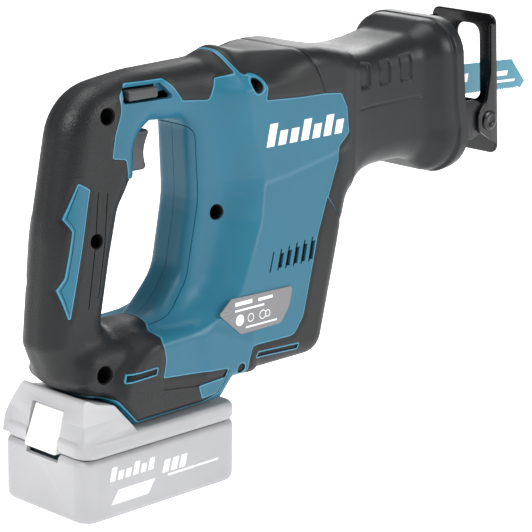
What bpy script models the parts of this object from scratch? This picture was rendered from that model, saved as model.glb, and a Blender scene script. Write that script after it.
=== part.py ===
"""Cordless reciprocating saw: D-handle housing, vertical motor, crank drive, slider and blade,
adjustable shoe, and a slide-on battery pack.

Lengths below are in millimetres and are turned into metres where a mesh is made. X points from
the handle to the blade, Y to the left, Z up. The saw stands on its battery, on the plane Z = 0,
and everything hangs under one root empty that puts the middle of the overall length at X = 0.
"""

import math

import bmesh
import bpy
from mathutils import Matrix

for old in list(bpy.data.objects):
    bpy.data.objects.remove(old, do_unlink=True)

MM = 0.001
GAP = 0.3  # clearance between neighbouring solids

# Overall
REAR_X = -12.35  # back of the grip
TIP_X = 417.0  # end of the blade
MIDDLE_X = (REAR_X + TIP_X) / 2

# Housing
GRIP_HALF = 17.5
BODY_HALF = 34.0
BASE_HALF = 34.0
SHOULDER_HALF = 26.0
GRIP_ROUND = 13.0  # rim radii of the moulded outer shapes
BODY_ROUND = 12.0
BASE_ROUND = 6.0
SHOULDER_ROUND = 9.0
SKIN = 1.7  # depth of the rubber skins
WALL = 3.6  # from the outer face to the hollow
NOSE_X = 214.0  # front end of the housing
BODY_TOP = 249.0

# Drive
SLIDER_Z = 207.0
MOTOR_X = 155.0
GEAR_MODULE = 1.0
PINION_TEETH = 7
CRANK_TEETH = 47
GEAR_DISTANCE = GEAR_MODULE * (PINION_TEETH + CRANK_TEETH) / 2
CRANK_X = MOTOR_X + GEAR_DISTANCE
CRANK_THROW = 10.0  # half of the 20 mm stroke
CRANK_GEAR_Z = 172.0
CRANK_GEAR_HEIGHT = 8.0
CRANK_PIN_TOP = 184.7
SLIDER_RADIUS = 7.0
GEARBOX_HALF = 28.5
GEARBOX_FLOOR = 163.5
GEARBOX_TOP = 238.0
NOSE_BOX_HALF = 19.0
NOSE_BOX_FRONT = 284.0

# Boot
BOOT_HALF = 40.5
BOOT_WALL = 2.6
BOOT_FRONT = 311.0

# Shoe
SHOE_HALF = 26.4
SHOE_LOW = 158.8
SHOE_HIGH = 250.9
SHOE_LEAN = math.radians(4.5)
SHOE_SHEET = 2.2
SHOE_PIVOT_X = 349.0
SHOE_PIVOT_Z = 183.0

# Blade
BLADE_HEIGHT = 20.0
BLADE_SHEET = 1.1
BLADE_RAKE = math.radians(2.6)

# Battery
BATTERY_HALF = 37.5
BATTERY_REAR = -6.0
BATTERY_FRONT = 114.6
BATTERY_PARTING = 37.5
BATTERY_SHOULDER = 48.0


def make_material(name, color, roughness, metallic=0.0):
    material = bpy.data.materials.new(name)
    material.use_nodes = True
    shader = material.node_tree.nodes["Principled BSDF"]
    shader.inputs["Base Color"].default_value = (*color, 1.0)
    shader.inputs["Roughness"].default_value = roughness
    shader.inputs["Metallic"].default_value = metallic
    return material


TEAL = (0.048, 0.188, 0.287)
TEAL_BLADE = (0.075, 0.300, 0.410)
CHARCOAL = (0.036, 0.039, 0.042)
BOOT_GREY = (0.032, 0.034, 0.038)
BLACK = (0.010, 0.010, 0.011)
STEEL = (0.550, 0.560, 0.580)
DARK_STEEL = (0.180, 0.185, 0.195)
ALUMINIUM = (0.600, 0.610, 0.620)
BRONZE = (0.480, 0.300, 0.130)
COPPER = (0.560, 0.230, 0.100)
PALE_GREY = (0.520, 0.520, 0.530)
WHITE = (0.860, 0.860, 0.840)
LABEL_GREY = (0.270, 0.270, 0.285)

root = bpy.data.objects.new("saw", None)
bpy.context.scene.collection.objects.link(root)
root.location = (-MIDDLE_X * MM, 0.0, 0.0)


def pivot(name, x, y, z, parent=root):
    """An empty on a joint's axis. Positions are in the saw's own millimetres."""
    empty = bpy.data.objects.new(name, None)
    bpy.context.scene.collection.objects.link(empty)
    empty.parent = parent
    offset = (0.0, 0.0, 0.0) if parent is root else parent["place"]
    empty["place"] = (x, y, z)
    empty.location = tuple((a - b) * MM for a, b in zip((x, y, z), offset))
    return empty


def place_of(parent):
    return (0.0, 0.0, 0.0) if parent is root else tuple(parent["place"])


def make_object(name, shape, material=None, parent=root):
    """Turns a bmesh in the saw's millimetres into an object under its parent."""
    bmesh.ops.recalc_face_normals(shape, faces=shape.faces)
    px, py, pz = place_of(parent)
    shape.transform(Matrix.Scale(MM, 4) @ Matrix.Translation((-px, -py, -pz)))
    mesh = bpy.data.meshes.new(name)
    shape.to_mesh(mesh)
    shape.free()
    obj = bpy.data.objects.new(name, mesh)
    bpy.context.scene.collection.objects.link(obj)
    obj.parent = parent
    if material is None:
        obj.hide_render = True
        obj.display_type = "WIRE"
    else:
        mesh.materials.append(material)
        mesh.shade_smooth()
        mesh.set_sharp_from_angle(angle=math.radians(35))
    return obj


def show(obj, material):
    """Turns a helper shape into a visible piece."""
    obj.hide_render = False
    obj.display_type = "TEXTURED"
    obj.data.materials.append(material)
    obj.data.shade_smooth()
    obj.data.set_sharp_from_angle(angle=math.radians(35))


def boolean(target, other, operation):
    other.hide_render = True
    other.display_type = "WIRE"
    modifier = target.modifiers.new(operation.lower(), "BOOLEAN")
    modifier.operation = operation
    modifier.solver = "EXACT"
    modifier.object = other
    return target


def cut(target, *others):
    for other in others:
        boolean(target, other, "DIFFERENCE")
    return target


def join(target, *others):
    for other in others:
        boolean(target, other, "UNION")
    return target


def keep_inside(target, other):
    return boolean(target, other, "INTERSECT")


def corner_data(points, index):
    """Unit vectors towards both neighbours of a corner, and the turn there (+ is convex)."""
    ax, az = points[index - 1][:2]
    bx, bz = points[index][:2]
    cx, cz = points[(index + 1) % len(points)][:2]
    back = ((ax - bx), (az - bz))
    ahead = ((cx - bx), (cz - bz))
    back_length = math.hypot(*back)
    ahead_length = math.hypot(*ahead)
    back = (back[0] / back_length, back[1] / back_length)
    ahead = (ahead[0] / ahead_length, ahead[1] / ahead_length)
    turn = -back[0] * ahead[1] + back[1] * ahead[0]
    return back, ahead, turn


def inset_outline(points, depth):
    """Moves every side of a counter-clockwise outline of (x, z, radius) corners inwards."""
    moved = []
    for index, (x, z, radius) in enumerate(points):
        back, ahead, turn = corner_data(points, index)
        sine = back[0] * ahead[1] - back[1] * ahead[0]
        shift_x = (back[0] + ahead[0]) / -sine
        shift_z = (back[1] + ahead[1]) / -sine
        new_radius = radius - depth if turn > 0 else radius + depth
        moved.append((x + depth * shift_x, z + depth * shift_z, max(new_radius, 0.0)))
    return moved


def round_outline(points, step=math.radians(36), keep_count=False):
    """Replaces each (x, z, radius) corner by an arc. With keep_count the number of points
    depends on the angles alone, so that outlines of one shape at different insets match."""
    result = []
    for index, (x, z, radius) in enumerate(points):
        back, ahead, turn = corner_data(points, index)
        if keep_count:
            radius = max(radius, 0.4)
        elif radius < 0.05:
            result.append((x, z))
            continue
        cosine = max(-1.0, min(1.0, back[0] * ahead[0] + back[1] * ahead[1]))
        angle = math.acos(cosine)
        reach = radius / math.tan(angle / 2)
        half = math.hypot(back[0] + ahead[0], back[1] + ahead[1])
        along = radius / math.sin(angle / 2) / half
        centre = (x + along * (back[0] + ahead[0]), z + along * (back[1] + ahead[1]))
        start = (x + back[0] * reach, z + back[1] * reach)
        first = math.atan2(start[1] - centre[1], start[0] - centre[0])
        sweep = (math.pi - angle) * (1 if turn > 0 else -1)
        count = max(1, math.ceil(abs(sweep) / step - 1e-6))
        for k in range(count + 1):
            theta = first + sweep * k / count
            result.append((centre[0] + radius * math.cos(theta), centre[1] + radius * math.sin(theta)))
    return result


def prism(name, outline, low, high, axis="Y", hole=None, material=None, parent=root):
    """Extrudes an outline. It lies in XZ for axis Y, in YZ for axis X and in XY for axis Z."""
    place = {
        "Y": lambda a, b, depth: (a, depth, b),
        "X": lambda a, b, depth: (depth, a, b),
        "Z": lambda a, b, depth: (a, b, depth),
    }[axis]
    shape = bmesh.new()
    edges = []
    for loop in [outline] + ([hole] if hole else []):
        corners = [shape.verts.new(place(a, b, low)) for a, b in loop]
        edges += [shape.edges.new((corners[i - 1], corners[i])) for i in range(len(corners))]
    bmesh.ops.triangle_fill(shape, edges=edges, use_beauty=True, use_dissolve=False)
    side = bmesh.ops.extrude_face_region(shape, geom=shape.faces[:])
    moved = [item for item in side["geom"] if isinstance(item, bmesh.types.BMVert)]
    direction = place(0.0, 0.0, high - low)
    bmesh.ops.translate(shape, verts=moved, vec=direction)
    return make_object(name, shape, material, parent)


def block(name, x, y, z, material=None, parent=root):
    """A box from its (low, high) pair along each axis."""
    outline = [(x[0], z[0]), (x[1], z[0]), (x[1], z[1]), (x[0], z[1])]
    return prism(name, outline, y[0], y[1], material=material, parent=parent)


AXES = {
    "X": Matrix.Rotation(math.pi / 2, 4, "Y"),
    "Y": Matrix.Rotation(-math.pi / 2, 4, "X"),
    "Z": Matrix.Identity(4),
}


def turned(name, profile, centre, axis="Z", steps=32, material=None, parent=root):
    """Turns a closed profile of (radius, height) about an axis through centre."""
    shape = bmesh.new()
    rings = []
    for k in range(steps):
        theta = 2 * math.pi * k / steps
        ring = [shape.verts.new((r * math.cos(theta), r * math.sin(theta), h)) for r, h in profile]
        rings.append(ring)
    for k in range(steps):
        ring, following = rings[k], rings[(k + 1) % steps]
        for i in range(len(profile)):
            j = (i + 1) % len(profile)
            shape.faces.new((ring[i], following[i], following[j], ring[j]))
    bmesh.ops.remove_doubles(shape, verts=shape.verts, dist=1e-4)
    shape.transform(Matrix.Translation(centre) @ AXES[axis])
    return make_object(name, shape, material, parent)


def rod(name, radius, low, high, centre, axis="Z", steps=24, material=None, parent=root):
    """A plain cylinder between two heights along its axis."""
    profile = [(0.0, low), (radius, low), (radius, high), (0.0, high)]
    return turned(name, profile, centre, axis, steps, material, parent)


def ring(name, inner, outer, low, high, centre, axis="Z", steps=28, material=None, parent=root):
    profile = [(inner, low), (outer, low), (outer, high), (inner, high)]
    return turned(name, profile, centre, axis, steps, material, parent)


# ---------------------------------------------------------------- housing outlines

# Outside of the D-frame: grip, top bar, web and lower bar.
FRAME_OUTLINE = [
    (-4.0, 79.0, 5.0),
    (14.0, 68.0, 5.0),
    (100.0, 64.0, 5.0),
    (128.0, 90.0, 4.0),
    (128.0, 248.0, 3.0),
    (60.0, 246.0, 60.0),
    (8.0, 240.0, 34.0),
    (-6.5, 165.0, 90.0),
    (-12.5, 98.0, 8.0),
]
# Finger opening, also counter-clockwise.
OPENING_OUTLINE = [
    (29.0, 102.5, 7.0),
    (70.0, 102.5, 26.0),
    (86.0, 124.0, 26.0),
    (93.5, 168.0, 60.0),
    (90.5, 217.0, 9.0),
    (56.0, 217.0, 3.0),
    (55.0, 188.0, 9.0),
    (41.0, 168.0, 26.0),
]
# Motor and gear body behind the boot.
BODY_OUTLINE = [
    (84.0, 61.5, 4.0),
    (189.0, 61.5, 14.0),
    (207.0, 138.0, 60.0),
    (NOSE_X, 158.0, 6.0),
    (NOSE_X, 246.0, 8.0),
    (175.0, BODY_TOP, 60.0),
    (118.0, BODY_TOP, 14.0),
    (112.0, 226.0, 18.0),
    (124.0, 172.0, 60.0),
    (112.0, 122.0, 24.0),
    (78.0, 94.0, 10.0),
]
# Foot that carries the battery rails.
BASE_OUTLINE = [
    (24.0, 65.5, 4.0),
    (35.0, 49.5, 1.5),
    (104.0, 50.5, 4.0),
    (114.0, 61.6, 3.0),
    (134.0, 61.6, 4.0),
    (130.0, 84.0, 8.0),
    (96.0, 98.0, 20.0),
    (48.0, 96.0, 24.0),
    (28.0, 80.0, 10.0),
]
SHOULDER_OUTLINE = [
    (2.0, 77.0, 4.0),
    (13.0, 67.6, 5.0),
    (26.0, 65.8, 4.0),
    (60.0, 70.0, 4.0),
    (60.0, 99.0, 12.0),
    (8.0, 94.0, 12.0),
]


def pillow(name, outline, half, bevel, hole=None, segments=2, material=None, parent=root):
    """A plate in XZ, symmetric about Y = 0, whose rims are rounded with a quarter circle."""
    shape = bmesh.new()
    heights = []
    for k in range(segments + 1):
        angle = math.pi / 2 * (segments - k) / segments
        heights.append((half - bevel * (1 - math.cos(angle)), bevel * (1 - math.sin(angle))))
    layers = [(-height, inset) for height, inset in reversed(heights)] + heights
    layers.sort()
    caps = ([], [])
    for loop, sign in ((outline, 1), (hole, -1)):
        if loop is None:
            continue
        rows = []
        for height, inset in layers:
            points = round_outline(inset_outline(loop, sign * inset), keep_count=True)
            rows.append([shape.verts.new((x, height, z)) for x, z in points])
        for lower, upper in zip(rows, rows[1:]):
            for i in range(len(lower)):
                shape.faces.new((lower[i - 1], lower[i], upper[i], upper[i - 1]))
        for rim, edges in ((rows[0], caps[0]), (rows[-1], caps[1])):
            edges.extend(shape.edges.get((rim[i - 1], rim[i])) for i in range(len(rim)))
    for edges in caps:
        bmesh.ops.triangle_fill(shape, edges=edges, use_beauty=True, use_dissolve=False)
    return make_object(name, shape, material, parent)


def housing_solid(name, inset):
    """The outer shape of the two housing halves together, with every face moved inwards."""
    opening = inset_outline(OPENING_OUTLINE, -inset)
    outline = inset_outline(FRAME_OUTLINE, inset)
    frame = pillow(name, outline, GRIP_HALF - inset, GRIP_ROUND - inset, opening)
    parts = [
        ("body", BODY_OUTLINE, BODY_HALF, BODY_ROUND),
        ("base", BASE_OUTLINE, BASE_HALF, BASE_ROUND),
        ("shoulder", SHOULDER_OUTLINE, SHOULDER_HALF, SHOULDER_ROUND),
    ]
    for label, outline, half, bevel in parts:
        outline = inset_outline(outline, inset)
        join(frame, pillow(f"{name}_{label}", outline, half - inset, bevel - inset))
    return frame


# Rubber skins, each as an outline that its skin fills.
REAR_GRIP_REGION = [
    (-30.0, 66.0, 0.0),
    (13.0, 70.5, 0.0),
    (25.0, 68.5, 0.0),
    (36.0, 53.0, 0.0),
    (112.0, 54.0, 0.0),
    (96.0, 72.0, 4.0),
    (72.0, 71.0, 2.0),
    (70.0, 84.0, 10.0),
    (52.0, 103.0, 20.0),
    (46.0, 120.0, 0.0),
    (46.0, 200.0, 0.0),
    (33.0, 201.0, 0.0),
    (37.0, 222.0, 0.0),
    (36.0, 243.0, 3.0),
    (68.0, 243.0, 3.0),
    (84.0, 227.0, 2.0),
    (102.0, 227.0, 2.0),
    (106.0, 238.0, 0.0),
    (112.0, 238.0, 0.0),
    (106.0, 270.0, 0.0),
    (-30.0, 270.0, 0.0),
]
GEAR_GRIP_REGION = [
    (128.0, 236.0, 0.0),
    (140.0, 225.0, 3.0),
    (203.0, 220.0, 4.0),
    (206.0, 225.0, 0.0),
    (230.0, 225.0, 0.0),
    (230.0, 270.0, 0.0),
    (112.0, 270.0, 0.0),
]
FRONT_GRIP_REGION = [
    (124.0, 50.0, 0.0),
    (240.0, 50.0, 0.0),
    (240.0, 150.0, 0.0),
    (196.0, 150.0, 0.0),
    (175.0, 92.0, 8.0),
    (162.0, 78.5, 8.0),
    (127.0, 76.0, 0.0),
]
# Housing screws, and how far their bosses reach to each side of the parting plane.
SCREW_PLACES = [(29.0, 226.0), (20.0, 157.0), (18.0, 82.0), (112.0, 159.0), (130.0, 233.0)]
BOSS_REACHES = [14.6, 14.6, 22.9, 14.6, 31.0]
SCREW_SHANK = 1.9
SCREW_HEAD = 3.2


def skin(name, region, low, high, material, inner):
    """The part of the housing's outer layer that lies inside a region."""
    piece = housing_solid(name, 0.0)
    show(piece, material)
    keep_inside(piece, prism(f"{name}_region", round_outline(region), low, high))
    cut(piece, inner)
    return piece


def screw_boss(name, x, z, reach, side):
    """A round post from the wall to the parting plane; side is -1 on the right, +1 on the left."""
    low, high = sorted((side * reach, side * GAP / 2))
    return rod(name, 4.8, low, high, (x, 0.0, z), "Y", 12)


def screw_hole(name, x, z, side):
    """On the right a screw goes in head first; on the left its thread ends in a blind hole."""
    if side < 0:
        profile = [(0.0, -60.0), (SCREW_HEAD + 0.4, -60.0), (SCREW_HEAD + 0.4, -5.6),
                   (SCREW_SHANK + GAP, -5.6), (SCREW_SHANK + GAP, 1.0), (0.0, 1.0)]
    else:
        profile = [(0.0, -1.0), (SCREW_SHANK + GAP, -1.0), (SCREW_SHANK + GAP, 9.0), (0.0, 9.0)]
    return turned(name, profile, (x, 0.0, z), "Y", 12)


def housing_halves(teal, regions, hollow, under_skin, cutters):
    """Both halves of the teal shell, hollow, with room for the skins and the battery rails."""
    for name, side in (("right", -1), ("left", 1)):
        shell = housing_solid(f"housing_{name}", 0.0)
        show(shell, teal)
        for index, region in enumerate(regions):
            grown = round_outline(inset_outline(region, -GAP))
            cut(shell, prism(f"housing_{name}_skin_{index}", grown, -60.0, 60.0))
        join(shell, under_skin)
        cut(shell, hollow)
        low, high = sorted((side * GAP / 2, side * 60.0))
        keep_inside(shell, block(f"housing_{name}_side", (-60.0, 300.0), (low, high), (0.0, 300.0)))
        for index, ((x, z), reach) in enumerate(zip(SCREW_PLACES, BOSS_REACHES), start=1):
            join(shell, screw_boss(f"boss_{name}_{index}", x, z, reach, side))
            cut(shell, screw_hole(f"screw_hole_{name}_{index}", x, z, side))
        cut(shell, *cutters)


def build_housing():
    teal = make_material("teal_plastic", TEAL, 0.42)
    rubber = make_material("charcoal_rubber", CHARCOAL, 0.62)
    under_skin = housing_solid("under_skin", SKIN)
    skin_floor = housing_solid("skin_floor", SKIN - GAP)
    hollow = housing_solid("housing_hollow", WALL)
    bay = block("battery_bay", (20.0, 112.5), (-25.0, 25.0), (40.0, 58.0))
    nose = block("nose_opening", (205.0, 230.0), (-29.5, 29.5), (162.5, 241.0))
    trigger_slot = block("trigger_slot", (30.0, 80.0), (-10.5, 10.5), (188.5, 214.0))
    trigger_toe = block("trigger_toe", (44.0, 66.0), (-10.5, 10.5), (186.0, 200.0))
    button_slot = block("button_slot", (43.0, 67.0), (-30.0, 30.0), (231.4, 239.6))
    vents = []
    for k in range(5):
        x = 151.0 + 7.2 * k
        lean = 3.0
        outline = [(x, 121.0), (x + 3.4, 121.0), (x + 3.4 + lean, 134.0), (x + lean, 134.0)]
        vents.append(prism(f"vent_{k}", outline, -60.0, 60.0))
    regions = [REAR_GRIP_REGION, GEAR_GRIP_REGION, FRONT_GRIP_REGION]
    openings = [bay, nose, trigger_slot, trigger_toe, button_slot, *vents]
    housing_halves(teal, regions, hollow, under_skin, openings)
    for name, side in (("right", -1), ("left", 1)):
        low, high = sorted((side * GAP / 2, side * 60.0))
        grip = skin(f"rear_grip_{name}", REAR_GRIP_REGION, low, high, rubber, skin_floor)
        cut(grip, bay, trigger_slot, trigger_toe, button_slot)
        if side < 0:
            for index, (x, z) in enumerate(SCREW_PLACES[:3], start=1):
                cut(grip, rod(f"grip_hole_{index}", SCREW_HEAD + 0.8, -40.0, 0.0, (x, 0.0, z), "Y", 12))
        front = skin(f"front_bumper_{name}", FRONT_GRIP_REGION, low, high, rubber, skin_floor)
        cut(front, nose)
    cover = skin("gear_cover", GEAR_GRIP_REGION, -60.0, 60.0, rubber, skin_floor)
    x, z = SCREW_PLACES[4]
    cut(cover, nose, rod("cover_hole", SCREW_HEAD + 0.8, -60.0, 0.0, (x, 0.0, z), "Y", 12))


def build_screws():
    steel = make_material("black_screw", (0.05, 0.05, 0.055), 0.35, 0.9)
    profile = [(0.0, -9.0), (SCREW_HEAD, -9.0), (SCREW_HEAD, -6.0), (SCREW_SHANK, -6.0),
               (SCREW_SHANK, 8.0), (0.0, 8.0)]
    for index, (x, z) in enumerate(SCREW_PLACES, start=1):
        turned(f"housing_screw_{index}", profile, (x, 0.0, z), "Y", 12, steel)


def build_label():
    outline = [(97.5, 104.0, 1.0), (107.0, 110.5, 1.0), (160.0, 109.0, 2.0), (157.5, 97.0, 4.0),
               (150.0, 88.0, 6.0), (119.0, 87.5, 4.0)]
    label = make_material("label_film", LABEL_GREY, 0.35, 0.3)
    prism("rating_label", round_outline(outline), -BODY_HALF - 0.7, -BODY_HALF - GAP, material=label)


# ---------------------------------------------------------------- boot and gear housing


def loft(name, sections, material=None, parent=root, corner_steps=3):
    """A skin through upright rounded rectangles of (x, half width, low, high, radius)."""
    shape = bmesh.new()
    loops = []
    for x, half, low, high, radius in sections:
        middle = (low + high) / 2
        corners = [(-half, low, radius), (half, low, radius), (half, high, radius), (-half, high, radius)]
        points = []
        for k, (y, z, r) in enumerate(corners):
            cy = y - math.copysign(r, y)
            cz = z - math.copysign(r, z - middle)
            start = math.pi + k * math.pi / 2
            for step in range(corner_steps + 1):
                theta = start + step * math.pi / 2 / corner_steps
                points.append((cy + r * math.cos(theta), cz + r * math.sin(theta)))
        loops.append([shape.verts.new((x, y, z)) for y, z in points])
    for first, second in zip(loops, loops[1:]):
        for i in range(len(first)):
            shape.faces.new((first[i - 1], first[i], second[i], second[i - 1]))
    shape.faces.new(loops[0])
    shape.faces.new(loops[-1])
    return make_object(name, shape, material, parent)


BOOT_SECTIONS = [
    (NOSE_X + GAP + 0.2, 32.5, 159.5, 241.5, 14.0),
    (232.0, 29.8, 166.5, 238.5, 16.0),
    (256.0, 29.8, 167.0, 239.5, 17.0),
    (276.0, 32.5, 165.0, 244.0, 18.0),
    (292.0, 37.0, 160.5, 250.0, 20.0),
    (303.0, 40.0, 157.0, 254.0, 22.0),
    (BOOT_FRONT, BOOT_HALF, 156.0, 254.5, 22.0),
]


def build_boot():
    grey = make_material("boot_rubber", BOOT_GREY, 0.55)
    boot = loft("front_boot", BOOT_SECTIONS, grey)
    inner = []
    for index, (x, half, low, high, radius) in enumerate(BOOT_SECTIONS):
        if index == 0:
            x -= 5.0
        elif index == len(BOOT_SECTIONS) - 1:
            x += 5.0
        inner.append((x, half - BOOT_WALL, low + BOOT_WALL, high - BOOT_WALL, radius - BOOT_WALL))
    cut(boot, loft("boot_hollow", inner))


def build_gear_housing():
    aluminium = make_material("cast_aluminium", ALUMINIUM, 0.5, 0.9)
    steel = make_material("plate_steel", STEEL, 0.4, 1.0)
    bronze = make_material("sintered_bronze", BRONZE, 0.45, 0.9)
    felt = make_material("slider_seal_felt", BLACK, 0.95)
    case = block("gear_housing", (145.0, 213.7), (-GEARBOX_HALF, GEARBOX_HALF),
                 (GEARBOX_FLOOR, GEARBOX_TOP - 3.0), aluminium)
    nose = block("gearbox_nose", (205.0, NOSE_BOX_FRONT), (-NOSE_BOX_HALF, NOSE_BOX_HALF), (186.0, 228.0))
    guide = block("shoe_guide", (216.0, NOSE_BOX_FRONT), (-15.5, 15.5), (171.5, 190.0))
    join(case, nose, guide)
    cut(
        case,
        block("gearbox_cavity", (148.5, 211.2), (-26.0, 26.0), (GEARBOX_FLOOR + 3.0, 260.0)),
        rod("slider_bore", 10.3, 200.0, 300.0, (0.0, 0.0, SLIDER_Z), "X"),
        block("guide_channel", (210.0, 300.0), (-12.5, 12.5), (173.4, 179.6)),
        rod("shaft_hole", 4.0, 150.0, 175.0, (MOTOR_X, 0.0, 0.0), "Z", 16),
    )
    block("gear_housing_cover", (145.0, 213.7), (-GEARBOX_HALF, GEARBOX_HALF),
          (GEARBOX_TOP - 2.7, GEARBOX_TOP), steel)
    bush = (SLIDER_RADIUS + GAP, 10.0)
    axis_at = (0.0, 0.0, SLIDER_Z)
    ring("slider_bush_rear", *bush, 206.0, 220.0, axis_at, "X", 24, bronze)
    ring("slider_bush_front", *bush, 258.0, 274.0, axis_at, "X", 24, bronze)
    ring("slider_seal", *bush, 275.0, 281.0, axis_at, "X", 24, felt)


# ---------------------------------------------------------------- motor and crank


def gear_outline(teeth, tip, root_radius, widths, centre, tooth_at):
    """A toothed outline; widths are the half thicknesses at tip and root, tooth_at one tooth's angle."""
    points = []
    for k in range(teeth):
        middle = tooth_at + 2 * math.pi * k / teeth
        flank = [(root_radius, -widths[1]), (tip, -widths[0]), (tip, widths[0]), (root_radius, widths[1])]
        for radius, offset in flank:
            theta = middle + offset / radius
            points.append((centre[0] + radius * math.cos(theta), centre[1] + radius * math.sin(theta)))
    return points


def build_motor():
    steel = make_material("shaft_steel", STEEL, 0.25, 1.0)
    lamination = make_material("laminations", DARK_STEEL, 0.5, 0.9)
    copper = make_material("copper_winding", COPPER, 0.35, 0.9)
    nylon = make_material("fan_nylon", BLACK, 0.5)
    axis_at = (MOTOR_X, 0.0, 0.0)
    spin = pivot("rotor_axis", MOTOR_X, 0.0, 120.0)

    stator = ring("stator", 22.0, 26.0, 92.0, 140.0, axis_at, "Z", 24, copper)
    for k in range(6):
        tooth = block(f"stator_tooth_{k}", (16.6, 23.0), (-4.5, 4.5), (94.0, 138.0))
        tooth.data.transform(Matrix.Rotation(k * math.pi / 3, 4, "Z"))
        tooth.data.transform(Matrix.Translation((MOTOR_X * MM, 0.0, 0.0)))
        join(stator, tooth)

    ring("rotor_core", 3.3, 15.6, 94.0, 138.0, axis_at, "Z", 20, lamination, spin)
    shaft = rod("rotor_shaft", 3.0, 72.0, 167.0, axis_at, "Z", 14, steel, spin)
    outline = gear_outline(PINION_TEETH, 4.4, 2.5, (0.28, 0.85), (MOTOR_X, 0.0), 0.0)
    join(shaft, rod("pinion_neck", 2.45, 166.0, 173.0, axis_at, "Z", 14))
    join(shaft, prism("pinion", outline, CRANK_GEAR_Z, CRANK_GEAR_Z + CRANK_GEAR_HEIGHT, "Z"))

    fan = ring("fan", 3.3, 7.5, 143.0, 152.0, axis_at, "Z", 16, nylon, spin)
    join(fan, ring("fan_disc", 5.0, 25.0, 149.6, 151.2, axis_at, "Z", 24))
    for k in range(9):
        blade = block(f"fan_blade_{k}", (6.2, 24.2), (-0.7, 0.7), (143.7, 150.4))
        blade.data.transform(Matrix.Rotation(0.13 + k * math.tau / 9, 4, "Z"))
        blade.data.transform(Matrix.Translation((MOTOR_X * MM, 0.0, 0.0)))
        join(fan, blade)
    ring("motor_bearing_bottom", 3.3, 8.0, 73.0, 78.0, axis_at, "Z", 20, steel)
    ring("motor_bearing_top", 3.3, 8.0, 156.5, 162.0, axis_at, "Z", 20, steel)


def build_crank():
    steel = make_material("gear_steel", DARK_STEEL, 0.35, 1.0)
    bright = make_material("bearing_steel", STEEL, 0.25, 1.0)
    spin = pivot("crank_axis", CRANK_X, 0.0, CRANK_GEAR_Z)
    top = CRANK_GEAR_Z + CRANK_GEAR_HEIGHT
    outline = gear_outline(CRANK_TEETH, 24.3, 22.4, (0.34, 0.9), (CRANK_X, 0.0),
                           math.pi + math.pi / CRANK_TEETH)
    gear = prism("crank_gear", outline, CRANK_GEAR_Z, top, "Z", material=steel, parent=spin)
    join(gear, rod("crank_journal", 5.0, 167.2, CRANK_GEAR_Z + 1.0, (CRANK_X, 0.0, 0.0), "Z", 20))
    join(gear, rod("crank_pin", 4.5, top - 1.0, CRANK_PIN_TOP, (CRANK_X, CRANK_THROW, 0.0), "Z", 16))
    lobe = [(CRANK_X + 19.0 * math.cos(a), 19.0 * math.sin(a))
            for a in (math.pi + k * math.pi / 8 for k in range(9))]
    join(gear, prism("counterweight", lobe, top - 1.0, top + 2.6, "Z"))
    ring("crank_bearing", 5.3, 10.5, 166.9, 171.5, (CRANK_X, 0.0, 0.0), "Z", 20, bright)


# ---------------------------------------------------------------- slider, clamp and blade


def build_slider():
    steel = make_material("slider_steel", STEEL, 0.3, 1.0)
    black = make_material("clamp_steel", BLACK, 0.35, 0.8)
    paint = make_material("blade_paint", TEAL_BLADE, 0.4, 0.1)
    travel = pivot("slider_axis", CRANK_X, 0.0, SLIDER_Z)
    axis_at = (0.0, 0.0, SLIDER_Z)
    shaft = rod("slider_shaft", SLIDER_RADIUS, 172.0, 316.0, axis_at, "X", 20, steel, travel)
    pin_reach = CRANK_THROW + 4.5 + GAP
    join(
        shaft,
        block("yoke", (CRANK_X - 11.0, CRANK_X + 11.0), (-18.5, 18.5), (CRANK_PIN_TOP + GAP, 196.0)),
        block("yoke_riser", (CRANK_X - 9.0, CRANK_X + 11.0), (-5.5, 5.5), (195.0, 205.0)),
    )
    cut(
        shaft,
        block("yoke_slot", (CRANK_X - 4.9, CRANK_X + 4.9), (-pin_reach, pin_reach), (180.0, 193.0)),
        block("blade_slot", (300.0, 320.0), (-0.9, 0.9), (195.0, 219.0)),
        rod("pin_hole", 2.2, -12.0, 12.0, (308.0, 0.0, SLIDER_Z), "Y", 12),
    )
    rod("clamp_pin", 1.9, -6.2, 6.2, (308.0, 0.0, SLIDER_Z), "Y", 12, black, travel)
    build_blade(paint, travel)

    turn = pivot("clamp_axis", 305.0, 0.0, SLIDER_Z, travel)
    sleeve = [(SLIDER_RADIUS + 0.4, 294.6), (10.0, 294.6), (11.8, 297.0), (11.8, 315.0),
              (10.4, 318.5), (SLIDER_RADIUS + 0.4, 318.5)]
    clamp = turned("blade_clamp_sleeve", sleeve, axis_at, "X", 24, black, turn)
    lug = [(-3.5, SLIDER_Z + 11.0), (3.5, SLIDER_Z + 11.0), (2.5, SLIDER_Z + 17.0), (-2.5, SLIDER_Z + 17.0)]
    join(clamp, prism("clamp_lug", lug, 299.0, 312.0, "X"))


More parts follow.
